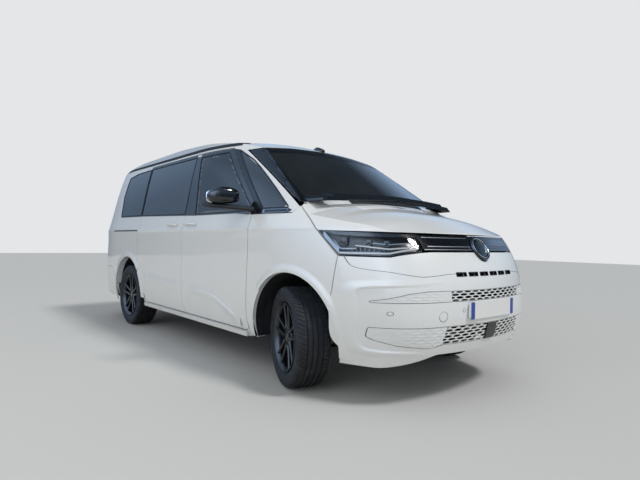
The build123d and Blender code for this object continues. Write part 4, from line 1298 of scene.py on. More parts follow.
@dataclass
class FrontFace:
    """Bumper face: open slots, honeycomb intakes, bare badge disc, blank plate, sensors and the joints of
    its panels."""

    copies: CadCopies
    pitch: float = 0.073
    open_half: float = 0.380
    badge_z: float = 0.981
    badge_radius: float = 0.088

    def honeycomb(self, rows: Array, low: Array, high: Array, half: float) -> Surface:
        """Lattice of stretched hexagons between two lines of (y, z), laid like bricks.

        Each cell is a band from its brick's outline in to a hexagon, and on down the hexagon's wall: deep
        in the open middle of the intake, and only to the bumper's face outside it. Cells that cross an
        edge line are pressed flat against it.

        Args:
            rows: heights of the rows' middles.
            low: lower edge of the field.
            high: upper edge of the field.
            half: half the field's width.

        Returns:
            The lattice.
        """
        w, h = self.pitch, float(np.diff(rows).mean())
        row, col = np.meshgrid(np.arange(len(rows)), np.arange(-12, 13), indexing="ij")
        y, z = ((col + 0.5 * (row % 2)) * w).ravel(), rows[row].ravel()
        limits = [lambda v, t=t: np.interp(np.abs(v), t[:, 0], t[:, 1]) for t in (low, high)]
        keep = (z > limits[0](y) + 0.002) & (z < limits[1](y) - 0.002) & (np.abs(y) < half)
        y, z = y[keep][:, None], z[keep][:, None]
        brick = np.array([
            (-0.5, 0.25), (-0.5, 0.5), (0.5, 0.5), (0.5, 0.25), (0.5, -0.25), (0.5, -0.5), (-0.5, -0.5),
            (-0.5, -0.25)
        ]) * (w, h)
        hexagon = np.array([
            (-0.472, 0.02), (-0.21, 0.43), (0.21, 0.43), (0.472, 0.02), (0.472, -0.02), (0.21, -0.43),
            (-0.21, -0.43), (-0.472, -0.02)
        ]) * (w, h)
        is_open = np.abs(y) < self.open_half
        rings = []
        for shape, size, margin, lift in (
            (brick, 1.0, 0.0, 0.0), (brick, 0.998, 0.0002, 0.0016), (hexagon, 1.0, 0.0010, 0.0016),
            (hexagon, 0.99, 0.0012, None)
        ):
            across = np.clip(y + shape[:, 0] * size, -half, half)
            upright = np.clip(
                z + shape[:, 1] * size, limits[0](across) + margin,
                np.maximum(limits[1](across), limits[0](across) + 2.1 * margin) - margin
            )
            rings.append(FORM.from_front(
                across, upright, np.where(is_open, -0.0020, -0.0012) if lift is None else lift
            ))
        ring = np.stack(rings, 1)
        cells, loops, corners = ring.shape[:3]
        index = np.arange(cells * loops * corners).reshape(cells, loops, corners)
        nxt = np.roll(index, -1, 2)
        quads = np.stack([index[:, :-1], nxt[:, :-1], nxt[:, 1:], index[:, 1:]], -1)
        return Surface(ring.reshape(-1, 3), [quads.reshape(-1, 4)])

    def intakes(self) -> None:
        """Upper and lower honeycomb fields, each with a thin dark joint along its edge."""
        upper_low = MM * np.array([(0, 659), (420, 659), (640, 655), (800, 649)])
        upper_high = MM * np.array([(0, 721), (560, 721), (660, 706), (800, 655)])
        lower_low = MM * np.array([
            (0, 396), (425, 396), (470, 385), (540, 378), (690, 394), (772, 420), (796, 440)
        ])
        lower_high = MM * np.array([(0, 506), (420, 506), (600, 503), (796, 497)])
        for name, rows, low, high, half in (
            ("upper", 0.6640 + 0.0175 * np.arange(4), upper_low, upper_high, 0.790),
            ("lower", 0.3870 + 0.0190 * np.arange(7), lower_low, lower_high, 0.785),
        ):
            lattice = self.honeycomb(rows, low, high, half)
            lattice.build(f"intake_{name}_honeycomb", FINISH.paint, "body", 20)
            edge = np.concatenate([low, high[::-1]])
            loop = np.concatenate([edge, (edge * (-1, 1))[::-1][1:-1]])
            line = resample(loop, 260, True)
            joint = ribbon("front", inset_line(line, -0.0022), 0.0022, 0.0009, 0.004)
            joint.build(f"intake_{name}_joint", FINISH.frit, "body")

    def slots(self) -> None:
        """Dark frames round the six slots over the bumper."""
        for i in range(6):
            y = (i - 2.5) * 0.113
            box = np.array([(y - 0.046, 0.807), (y + 0.046, 0.807), (y + 0.046, 0.833), (y - 0.046, 0.833)])
            frame = ribbon("front", inset_line(resample(box, 32, True), -0.001), 0.0045, 0.0012, 0.02)
            frame.build(f"slot_frame_{i}", FINISH.frit, "body")

    def badge(self) -> None:
        """Bare black disc in a thin bright ring and a broad black rim: radius by height turned about X."""
        at = FORM.from_front(np.array(0.0), np.array(self.badge_z))
        tilt = math.degrees(math.atan2(FORM.normal(at)[2], FORM.normal(at)[0]))
        r = self.badge_radius
        rim = np.array([
            (r - 0.011, 0.0), (r - 0.011, 0.012), (r - 0.007, 0.014), (r - 0.002, 0.013), (r, 0.010),
            (r, 0.0)
        ])
        ring = np.array([
            (r - 0.017, 0.0), (r - 0.017, 0.011), (r - 0.015, 0.0135), (r - 0.0125, 0.0135),
            (r - 0.0112, 0.012), (r - 0.0112, 0.0)
        ])
        dish = np.array([
            (0.0001, 0.0), (0.0001, 0.0098), (r * 0.5, 0.0092), (r * 0.75, 0.0080), (r - 0.0172, 0.0060),
            (r - 0.0172, 0.0)
        ])
        for name, profile, finish in (
            ("badge_rim", rim, FINISH.gloss_black), ("badge_ring", ring, FINISH.chrome),
            ("badge_disc_bare", dish, FINISH.gloss_black)
        ):
            shape = Surface.turned(profile, (0, 0, 0), axis=0, steps=72, closed=True)
            shape.points = turn(shape.points, -tilt, 1) + at
            shape.build(name, finish, "body")

    def plate(self) -> None:
        """Blank plate on its holder: a rounded slab, white, with a plain blue band at each end."""
        for name, half_y, half_z, x0, x1, finish, y0 in (
            ("plate_holder", 0.262, 0.056, 2.586, 2.5965, FINISH.paint, 0.0),
            ("plate_blank", 0.2575, 0.0525, 2.5965, 2.5990, FINISH.plate, 0.0),
            ("plate_band_right", 0.020, 0.0535, 2.5990, 2.5994, FINISH.plate_blue, -0.2365),
            ("plate_band_left", 0.020, 0.0535, 2.5990, 2.5994, FINISH.plate_blue, 0.2365),
        ):
            u, v = np.meshgrid(np.linspace(-1, 1, 41), np.linspace(-1, 1, 15))
            shrink = 1 - 0.02 * (np.abs(u) ** 24) * (np.abs(v) ** 8) * 4
            y, z = y0 + u * half_y * shrink, 0.595 + v * half_z * shrink
            bend = -0.08 * (y**2)
            front, back = (np.stack([x + bend, y, z + 0 * y], -1) for x in (x1, x0))
            Surface.slab(front, back).build(name, finish, "body")

    def fittings(self) -> None:
        """Radar cover, tow-eye cover and parking sensors: discs and a rounded square on the form."""
        square = MM * np.array([(-50, 404), (50, 404), (58, 452), (52, 504), (-52, 504), (-58, 452)])
        low, high = resample(square[[5, 0, 1, 2]], 24), resample(square[[5, 4, 3, 2]], 24)
        patch("front", low, high, 0.010, 0.025, 10).build("radar_cover", FINISH.frit, "body", 25)
        a = np.linspace(0, 2 * np.pi, 48, endpoint=False)
        turn_by, share = np.meshgrid(a, np.linspace(0.01, 1, 8), indexing="ij")
        disc = FORM.from_front(
            -0.458 + 0.0300 * share * np.cos(turn_by), 0.569 + 0.0300 * share * np.sin(turn_by), 0.0003
        )
        Surface.grid(disc, wrap_rows=True).build("tow_cover", FINISH.paint, "body", 60, 0.003)
        ring = np.stack([-0.458 + 0.0318 * np.cos(a), 0.569 + 0.0318 * np.sin(a)], -1)
        ribbon("front", ring, 0.0016, 0.0006, 0.004, 2).build("tow_cover_joint", FINISH.frit, "body")
        spots = [(-0.737, 0.588), (-0.294, 0.600), (0.294, 0.600), (0.737, 0.588)]
        for i, (y, z) in enumerate(spots):
            ring = np.stack([y + 0.0125 * np.cos(a), z + 0.0125 * np.sin(a)], -1)
            ribbon("front", ring, 0.002, 0.0006, 0.004, 2).build(f"sensor_ring_{i}", FINISH.frit, "body")
            eye = FORM.from_front(np.array(y), np.array(z), 0.0)
            dome = Surface.pillow(tuple(eye), (0.0030, 0.009, 0.009), 2.5, (12, 24))
            dome.build(f"sensor_{i}", FINISH.paint, "body")

    def recess(self) -> None:
        """Raised border round the bumper's sunken field, on each side: it rises 10 mm over a narrow inner
        slope along the field's outline and falls back over a broad outer one."""
        line = MM * np.array([
            (-380, 790), (-525, 769), (-706, 754), (-800, 741), (-832, 715), (-838, 640), (-836, 560),
            (-830, 460), (-817, 400), (-788, 358), (-750, 350), (-680, 350), (-600, 346), (-520, 338)
        ])
        path = curve(line, 160)
        reach = np.interp(
            np.linspace(0, 1, 160), [0, 0.25, 0.45, 0.75, 1], [0.030, 0.045, 0.055, 0.045, 0.014]
        )
        for side in Side:
            y, z = np.abs(path[:, 0]) * side.value, path[:, 1]
            t = np.linspace(0, 1, 160)
            fade = smoothstep(t * 3) * smoothstep((1 - t) * 4)
            a = np.concatenate([np.linspace(-1, 0, 6), np.linspace(0, 1, 12)[1:]])[:, None]
            grow = inset_line(np.stack([y, z], -1), 1.0, closed=False) - np.stack([y, z], -1)
            outward = np.sign((grow * (np.stack([y, z], -1) - (0.4 * side.value, 0.55))).sum(-1).mean())
            wide = np.where(a < 0, 0.013, reach[None]) * a * outward
            plan = np.stack([y, z], -1)[None] + grow[None] * wide[..., None]
            lift = 0.0100 * fade[None] * np.where(a < 0, smoothstep(1 + a), 1 - smoothstep(a)) + 0.0002
            skin = FORM.from_front(plan[..., 0], plan[..., 1], lift)
            lip = Surface.slab(skin, FORM.from_front(plan[..., 0], plan[..., 1], -0.004))
            lip.build("bumper_lip_" + side.label, FINISH.paint, "body", 60)

    def joints(self) -> None:
        """Thin joint between the bumper and the face above it, from the lamp's lower corner to the slots."""
        line = MM * np.array([
            (-843, 920), (-832, 866), (-800, 846), (-741, 836), (-601, 810), (-516, 811), (-395, 822),
            (-330, 824)
        ])
        path = curve(line, 120)
        for side in Side:
            plan = path * (-side.value, 1)
            across = inset_line(plan, 0.0011, closed=False)
            joint = patch("front", plan * 2 - across, across, 0.0006, 0.003, 2)
            joint.build("bumper_joint_" + side.label, FINISH.frit, "body")

    def make(self) -> None:
        """Make the whole front face."""
        rest = self.copies.panel(
            "front_grille", "grille_band_and_backs", FINISH.gloss_black, "body",
            lambda m: (m[:, 2] > 0.735) | (m[:, 0] < 2.456)
        )
        self.intakes()
        self.slots()
        self.badge()
        self.plate()
        self.fittings()
        self.recess()
        self.joints()
        for name, z, tall, last, finish in (
            ("band_light_guide", 0.9700, 0.0040, 0.508, FINISH.silver),
            ("band_lower_line", 0.9890, 0.0045, 0.478, FINISH.silver),
            ("band_panel", 0.9980, 0.0440, 0.470, FINISH.screen),
            ("band_upper_line", 1.0450, 0.0030, 0.490, FINISH.silver),
        ):
            y = np.linspace(0.094, last, 60)
            for side in Side:
                line = np.stack([y * side.value, np.full(60, z)], -1)
                strip = patch("front", line, line + (0, tall), 0.0018, 0.004, 2 if tall < 0.01 else 6)
                strip.build(f"{name}_{side.label}", finish, "body")


@dataclass
class HeadLamps:
    """Head lamps: a clear lens over a black housing with light guides, projectors and cooling fins, on
    each side."""

    middle: float = 1.2
    rear_tip: float = -53.2
    inner_end: float = -23.6
    low_x: Array = field(default_factory=lambda: MM * np.array([
        (1846, 1081), (2019, 930), (2318, 930), (2440, 964.5), (2700, 970.5)
    ]))
    high_x: Array = field(default_factory=lambda: MM * np.array([(1846, 1084), (2366, 1065), (2700, 1060)]))

    def __post_init__(self) -> None:
        """Find where both edge lines, heights over x, cross the form at each heading, by repeated casting."""
        heading = spread(self.rear_tip, self.inner_end, 80)
        self.edges = []
        for table in (self.low_x, self.high_x):
            z = np.full(heading.shape, 1.0)
            for _ in range(8):
                x = FORM.round_corner(heading, z, self.middle)[..., 0]
                z = np.interp(x, table[:, 0], table[:, 1])
            self.edges.append(z)

    def field_points(self, u: Array, v: Array, lift: Array | float) -> Array:
        """Points of the lamp's face: u runs from the rear tip to the middle of the van, v from the lower
        edge up."""
        heading = self.rear_tip + u * (self.inner_end - self.rear_tip)
        low, high = (np.interp(u, np.linspace(0, 1, 80), edge) for edge in self.edges)
        return FORM.round_corner(heading, low * (1 - v) + high * v, self.middle, lift)

    def sheet(
        self, box: tuple[float, float, float, float], lift: float, depth: float,
        shape: tuple[int, int] = (10, 60)
    ) -> Surface:
        """Closed sheet over a share of the face, from (u0, u1) and (v0, v1), lifted and sunk from it."""
        u0, u1, v0, v1 = box
        v, u = np.meshgrid(np.linspace(v0, v1, shape[0]), np.linspace(u0, u1, shape[1]), indexing="ij")
        return Surface.slab(self.field_points(u, v, lift), self.field_points(u, v, lift - depth))

    def guide(self, line: list[tuple[float, float]], radius: float, lift: float) -> Surface:
        """Light guide: a bar along a line of (u, v) on the face."""
        path = resample(line, 80)
        return Surface.tube(self.field_points(path[:, 0], path[:, 1], lift), radius, 8)

    def bar(
        self, span: tuple[float, float], low: tuple[float, float], tall: tuple[float, float],
        lift: float
    ) -> Surface:
        """Flat bar along the face: over a span of u, from a height in metres above the lower edge, and so
        tall there."""
        u = np.linspace(*span, 60)
        edges = [np.interp(u, np.linspace(0, 1, 80), edge) for edge in self.edges]
        start = np.interp(u, span, low)
        reach = np.interp(u, span, tall)
        v = np.clip((start + np.linspace(0, 1, 5)[:, None] * reach) / (edges[1] - edges[0]), 0.02, 0.95)
        grid = np.broadcast_to(u, v.shape)
        return Surface.slab(self.field_points(grid, v, lift), self.field_points(grid, v, lift - 0.006))

    def projector(self, u: float, v: float, size: float, lift: float) -> tuple[Surface, Surface, Surface]:
        """Projector: a square bezel, a bowl and a domed glass, all about the face's own normal."""
        at = self.field_points(np.array(u), np.array(v), lift)
        axis = FORM.normal(at)
        yaw = math.degrees(math.atan2(axis[1], axis[0]))
        frame = Surface.pillow((0, 0, 0), (0.013, size, size), 8, (16, 32))
        lens = Surface.pillow((0.010, 0, 0), (0.010, size * 0.72, size * 0.72), 2.4, (16, 32))
        a = np.linspace(0, 2 * np.pi, 40, endpoint=False)
        ring = Surface.tube(
            np.stack([0 * a + 0.013, size * 0.78 * np.cos(a), size * 0.78 * np.sin(a)], -1), 0.0022, 8,
            closed=True
        )
        for shape in (frame, lens, ring):
            shape.points = turn(shape.points, yaw, 2) + at
        return frame, lens, ring

    def make(self) -> None:
        """Make both lamps and let the right lens stand for the CAD ones."""
        pieces = [
            ("lens", self.sheet((0, 1, 0.0, 1.0), 0.0008, 0.003, (12, 80)), FINISH.lens),
            ("housing", self.sheet((0, 1, 0.0, 1.0), -0.040, 0.012), FINISH.lamp_black),
            ("shroud_top", self.sheet((0.02, 1, 0.84, 1.0), -0.0032, 0.036), FINISH.gloss_black),
            ("shroud_low", self.sheet((0.30, 1, 0.0, 0.05), -0.0032, 0.036), FINISH.gloss_black),
            ("blade_rear", self.bar((0.045, 0.235), (0.008, 0.008), (0.032, 0.034), -0.007), FINISH.silver),
            ("guide_low", self.bar((0.235, 0.62), (0.008, 0.010), (0.007, 0.008), -0.007), FINISH.guide),
            ("guide_inner", self.bar((0.62, 0.975), (0.010, 0.016), (0.010, 0.012), -0.007), FINISH.guide),
            ("blade_low", self.bar((0.235, 0.62), (0.016, 0.020), (0.004, 0.004), -0.012), FINISH.silver),
            ("guide_mid", self.bar((0.40, 0.88), (0.058, 0.030), (0.007, 0.009), -0.010), FINISH.guide),
            ("frame_rear", self.bar((0.170, 0.255), (0.052, 0.040), (0.008, 0.008), -0.010), FINISH.silver),
            ("frame_low", self.bar((0.255, 0.40), (0.036, 0.040), (0.006, 0.006), -0.010), FINISH.silver),
            ("bar_high", self.bar((0.56, 0.86), (0.078, 0.062), (0.005, 0.005), -0.014), FINISH.silver),
        ]
        for i, u in enumerate((0.27, 0.52, 0.69)):
            frame, lens, ring = self.projector(u, 0.60, 0.030 if i == 0 else 0.021, -0.030)
            pieces += [
                (f"projector_{i}", frame, FINISH.lamp_black),
                (f"projector_glass_{i}", lens, FINISH.screen),
                (f"projector_ring_{i}", ring, FINISH.silver)
            ]
        for i, u in enumerate(np.linspace(0.36, 0.82, 12)):
            fin = self.sheet((u, u + 0.008, 0.20, 0.36), -0.016, 0.020, (4, 3))
            pieces.append((f"fin_{i}", fin, FINISH.screen))
        for name, surface, finish in pieces:
            for side in Side:
                surface.on(side).build(f"lamp_{name}_{side.label}", finish, "body")
        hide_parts("head_lamps")


@dataclass
class TailFace:
    """Tail: wrap-round lamps, window trim, wiper, blank plate, handle, bare badge and reflectors."""

    copies: CadCopies

    def lamp(self, side: Side) -> None:
        """Tail lamp from the flank round to the tailgate, and its further part on the tailgate."""
        label = side.label
        for name, h0, h1, z0, z1, lift, deep, finish, body in (
            ("outer", -158.0, -129.5, 1.074, 1.186, 0.0016, 0.03, FINISH.red_lens, "body"),
            ("outer_guide", -157.0, -130.5, 1.088, 1.098, 0.0030, 0.004, FINISH.guide, "body"),
            ("inner", -176.2, -161.4, 1.074, 1.186, 0.0016, 0.004, FINISH.red_lens, "tailgate"),
            ("inner_guide", -175.6, -161.9, 1.088, 1.098, 0.0030, 0.004, FINISH.guide, "tailgate"),
        ):
            z, a = np.meshgrid(np.linspace(z0, z1, 10), np.linspace(h0, h1, 60), indexing="ij")
            skin, back = (FORM.round_corner(a, z, -1.70, v) for v in (lift, lift - deep))
            piece = Surface.slab(skin, back).on(side).build(f"tail_lamp_{name}_{label}", finish, body)
            if name == "outer" and side is Side.RIGHT:
                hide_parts("tail_lamps")

    def window(self) -> None:
        """Gasket, high brake lamp and wiper of the tailgate's window."""
        edge = MM * np.array([(-690, 1215), (-600, 1740), (600, 1740), (690, 1215)])
        line = resample(edge, 160, True)
        gasket = ribbon("rear", inset_line(line, 0.009), 0.009, 0.0018, 0.006)
        gasket.build("tailgate_gasket", FINISH.rubber, "tailgate")
        y = np.linspace(-0.21, 0.21, 40)
        bar = level_strip("rear", y, (1.778, 1.794), 0.0022, 0.008, 3)
        bar.build("high_brake_lamp", FINISH.red_lens, "tailgate")
        arm = curve([(-0.02, 1.238), (0.06, 1.262), (0.20, 1.288), (0.30, 1.300)], 40)
        blade = curve([(0.02, 1.266), (0.25, 1.300), (0.48, 1.318)], 40)
        for name, path, r, lift in (("arm", arm, 0.007, 0.020), ("blade", blade, 0.0045, 0.010)):
            points = FORM.from_rear(path[:, 0], path[:, 1], lift)
            Surface.tube(points, r, 10, 0.6).build("rear_wiper_" + name, FINISH.plastic, "tailgate")
        hub = FORM.from_rear(np.array(-0.02), np.array(1.238), 0.008)
        Surface.pillow(tuple(hub), (0.016, 0.026, 0.026), 3).build(
            "rear_wiper_hub", FINISH.plastic, "tailgate"
        )

    def middle(self) -> None:
        """Blank plate in its recess frame, handle bar, bare badge disc and reflectors in the bumper."""
        for name, z0, z1, half, lift, deep, finish in (
            ("plate_recess", 0.842, 0.985, 0.300, 0.0015, 0.004, FINISH.plastic),
            ("plate_rear_blank", 0.858, 0.968, 0.260, 0.0045, 0.003, FINISH.plate),
            ("plate_handle", 0.990, 1.020, 0.300, 0.020, 0.019, FINISH.paint),
        ):
            plate = level_strip("rear", np.linspace(-half, half, 50), (z0, z1), lift, deep)
            plate.build(name, finish, "tailgate")
        for side in Side:
            y = np.linspace(0.222, 0.260, 8) * side.value
            band = level_strip("rear", y, (0.859, 0.967), 0.0049, 0.0006, 4)
            band.build("plate_rear_band_" + side.label, FINISH.plate_blue, "tailgate")
            y = np.linspace(0.50, 0.74, 30) * side.value
            reflector = level_strip("rear", y, (0.395, 0.425), 0.0020, 0.004, 3)
            reflector.build("rear_reflector_" + side.label, FINISH.red_lens, "body")
        at = FORM.from_rear(np.array(0.0), np.array(1.105))
        disc = Surface.turned(
            np.array([(0.0001, 0), (0.0001, -0.010), (0.05, -0.009), (0.058, -0.006), (0.060, 0)]),
            (0, 0, 0), 0, 64, True
        )
        disc.points = disc.points + at
        disc.build("rear_badge_bare", FINISH.chrome, "tailgate")
        valance = level_strip("rear", np.linspace(-0.66, 0.66, 80), (0.300, 0.372), 0.003, 0.010, 4)
        valance.build("rear_valance", FINISH.plastic, "body")

    def make(self) -> None:
        """Make the whole tail."""
        for side in Side:
            self.lamp(side)
        self.window()
        self.middle()


@dataclass
class SideTrim:
    """Trim of one side: belt strip, door handles, arch lips, swage, slide rail and sill strip."""

    side: Side

    def belt(self) -> None:
        """Black strip under the windows, which widens to the front light's tip, one length for each panel."""
        door = "front_door_" + self.side.label
        spans = [
            ("quarter", -1.885, -1.211, "body"), ("sliding", -1.196, -0.052, "body"),
            ("door", -0.030, 1.098, door), ("wing", 1.112, 1.545, "body")
        ]
        top = MM * np.array([
            (-1890, 1270), (-1200, 1264), (-50, 1240), (168, 1234), (1100, 1234), (1110, 1244),
            (1500, 1246), (1545, 1232)
        ])
        low = MM * np.array([
            (-1890, 1262), (-1200, 1256), (-50, 1232), (168, 1226), (900, 1222), (1100, 1206), (1490, 1208),
            (1530, 1214), (1545, 1226)
        ])
        for name, x0, x1, body in spans:
            x = np.linspace(x0, x1, 60)
            lines = [np.stack([x, np.interp(x, t[:, 0], t[:, 1])], -1) for t in (low, top)]
            patch("side", *lines, 0.0035, 0.006, 4).on(self.side).build(
                f"belt_{name}_{self.side.label}", FINISH.gloss_black, body
            )

    def handles(self) -> None:
        """Pull handles on the crease: an oval bar that arches off the door, over a dished cup."""
        for name, x0, x1, body in (
            ("front", 0.020, 0.235, "front_door_" + self.side.label),
            ("sliding", -0.380, -0.165, "body")
        ):
            t = np.linspace(0, 1, 40)
            x = x0 + (x1 - x0) * t
            arch = 0.004 + 0.030 * np.sin(np.pi * t) ** 0.45
            path = FORM.from_side(x, 1.143 + 0 * x, arch)
            Surface.tube(path, 0.0125 + 0.003 * np.sin(np.pi * t), 16, 0.72).on(self.side).build(
                f"handle_{name}_{self.side.label}", FINISH.paint, body, 50
            )
            u, v = np.meshgrid(
                np.linspace(0, 2 * np.pi, 48, endpoint=False), np.linspace(0.02, 1, 8), indexing="ij"
            )
            xc, zc = (x0 + x1) / 2 + 0.062 * v * np.cos(u), 1.141 + 0.026 * v * np.sin(u)
            dish = FORM.from_side(xc, zc, 0.0012 + 0.0006 * (1 - v))
            Surface.grid(dish, wrap_rows=True).on(self.side).build(
                f"handle_cup_{name}_{self.side.label}", FINISH.paint, body, 60, 0.002
            )

    def arch(self, name: str, axle: float, spans: list[tuple[float, float, str, str]]) -> None:
        """Flat lip round a wheel arch: a bar 62 mm wide that swells 10 mm off the flank.

        Args:
            name: front or rear.
            axle: x of the wheel's axle.
            spans: (first angle, last angle, piece's name, body), in degrees from +X upwards.
        """
        for a0, a1, label, body in spans:
            a = np.radians(np.linspace(a0, a1, 60))[None]
            t = np.linspace(0, 1, 12)[:, None]
            r = 0.4205 + 0.062 * t
            x, z = axle + r * np.cos(a), ARCH_HEIGHT + r * np.sin(a)
            swell = 0.010 * smoothstep((1 - t) * 1.3) + 0.0002 + 0 * a
            skin, back = FORM.from_side(x, z, swell), FORM.from_side(x, z, -0.002)
            Surface.slab(skin, back).on(self.side).build(
                f"arch_{name}_{label}_{self.side.label}", FINISH.paint, body, 50
            )

    def lines(self) -> None:
        """Lower swage on the doors, sill strip, and the slide rail's slot behind the sliding door."""
        swage = MM * np.array([(-1190, 640), (-1010, 616), (15, 579), (506, 560), (760, 494), (1018, 396)])
        for name, x0, x1, body in (
            ("sliding", -1.030, -0.060, "body"),
            ("door", -0.025, 1.010, "front_door_" + self.side.label)
        ):
            path = curve(swage, 300)
            path = path[(path[:, 0] > x0) & (path[:, 0] < x1)]
            drop = MM * np.array([75, 55, 35, 20, 10, 4, 0, -4, -8, -20, -34])
            rise = np.array([0.0, 1.5, 3.5, 5.0, 4.4, 1.6, 0.2, 2.6, 4.2, 2.0, 0.0])
            fade = smoothstep(np.linspace(0, 6, len(path))) * smoothstep(np.linspace(6, 0, len(path)))
            lift = MM * 1.5 * rise[:, None] * fade[None] - 0.0008
            x, z = path[None, :, 0] + 0 * drop[:, None], path[None, :, 1] - drop[:, None]
            Surface.slab(FORM.from_side(x, z, lift), FORM.from_side(x, z, -0.002)).on(self.side).build(
                f"swage_{name}_{self.side.label}", FINISH.paint, body, 50
            )
        for name, x0, x1, body in (
            ("wing", 1.140, 1.500, "body"), ("door", -0.025, 1.098, "front_door_" + self.side.label),
            ("sliding", -1.190, -0.060, "body")
        ):
            x = np.linspace(x0, x1, 80)[None]
            a = np.linspace(-1, 1, 9)[:, None]
            lift = 0.0052 * (1 - np.abs(a)) - 0.0008 + 0 * x
            z = 1.0955 + a * 0.022 + 0 * x
            crease = Surface.slab(FORM.from_side(x + 0 * a, z, lift), FORM.from_side(x + 0 * a, z, -0.002))
            crease.on(self.side).build(f"crease_{name}_{self.side.label}", FINISH.paint, body, 50)
        for name, x0, x1, z0, z1, lift, finish in (
            ("frame", 1.262, 1.512, 1.213, 1.239, 0.0050, FINISH.silver),
            ("bare", 1.284, 1.508, 1.2155, 1.2365, 0.0056, FINISH.frit)
        ):
            tag = level_strip("side", np.linspace(x0, x1, 30), (z0, z1), lift, 0.002, 3)
            tag.on(self.side).build(f"trim_badge_{name}_{self.side.label}", finish, "body")
        rail = level_strip("side", np.linspace(-2.02, -1.215, 60), (1.090, 1.104), 0.0012, 0.004, 3)
        rail.on(self.side).build("slide_rail_" + self.side.label, FINISH.plastic, "body")
        sill = level_strip("side", np.linspace(-1.03, 1.09, 80), (0.275, 0.308), 0.006, 0.012, 4)
        sill.on(self.side).build("sill_strip_" + self.side.label, FINISH.paint, "body", 50)

    def make(self) -> None:
        """Make this side's trim."""
        self.belt()
        self.handles()
        self.arch("front", 1.611, [(-13.0, 60.0, "wing", "body"), (60.0, 139.8, "wing_rear", "body")])
        self.arch("rear", -1.513, [(41.0, 196.0, "frame", "body"), (-2.0, 38.5, "sliding", "body")])
        self.lines()


@dataclass
class Mirror:
    """Door mirror of one side: a gloss black shell with its glass, indicator and foot."""

    side: Side

    def make(self) -> None:
        """Make the mirror and let it stand for its CAD solid.

        The shell is a superellipsoid squeezed towards its outer end; the glass is a flatter one set into
        its back.
        """
        body = "front_door_" + self.side.label
        shell = Surface.pillow((0, 0, 0), (0.072, 0.122, 0.070), 2.8, (40, 64))
        p = shell.points
        p[:, 2] *= np.where(p[:, 2] > 0, 1 - 0.42 * smoothstep((-p[:, 1] - 0.01) / 0.13), 0.86)
        p[:, 0] *= np.where(p[:, 0] > 0, 1.05 - 1.0 * np.abs(p[:, 1] + 0.02), 0.55)
        shell.points = turn(p, -20, 2) + (0.975, -1.100, 1.345)
        glass = Surface.pillow((0, 0, 0), (0.006, 0.104, 0.052), 4, (16, 48))
        glass.points = turn(glass.points, -20, 2) + (0.939, -1.108, 1.339)
        path = curve(
            [
                (0.868, -1.214, 1.279), (0.905, -1.180, 1.273), (0.990, -1.080, 1.264),
                (1.060, -0.995, 1.256), (1.120, -0.912, 1.246)
            ],
            50
        )
        thick = np.interp(np.linspace(0, 1, 50), [0, 0.06, 0.35, 0.8, 1], [0.010, 0.024, 0.034, 0.036, 0.040])
        foot = Surface.tube(path, thick, 24, 0.55)
        blinker = Surface.tube(
            curve(
                [
                    (1.050, -1.020, 1.318), (1.030, -1.090, 1.318), (0.985, -1.160, 1.317),
                    (0.925, -1.205, 1.316)
                ],
                40
            ),
            0.0045, 8
        )
        for name, surface, finish in (
            ("shell", shell, FINISH.gloss_black), ("foot", foot, FINISH.plastic),
            ("glass", glass, FINISH.chrome), ("blinker", blinker, FINISH.gloss_black),
        ):
            piece = surface.on(self.side).build(f"mirror_{name}_{self.side.label}", finish, body, 50)
            if name == "shell":
                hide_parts("mirror_" + self.side.label)


class Axle(Enum):
    """Front or rear wheels, by the x of their axle in metres."""

    FRONT = 1.611
    REAR = -1.513

    @property
    def label(self) -> str:
        """Its name in node and body names."""
        return self.name.lower()


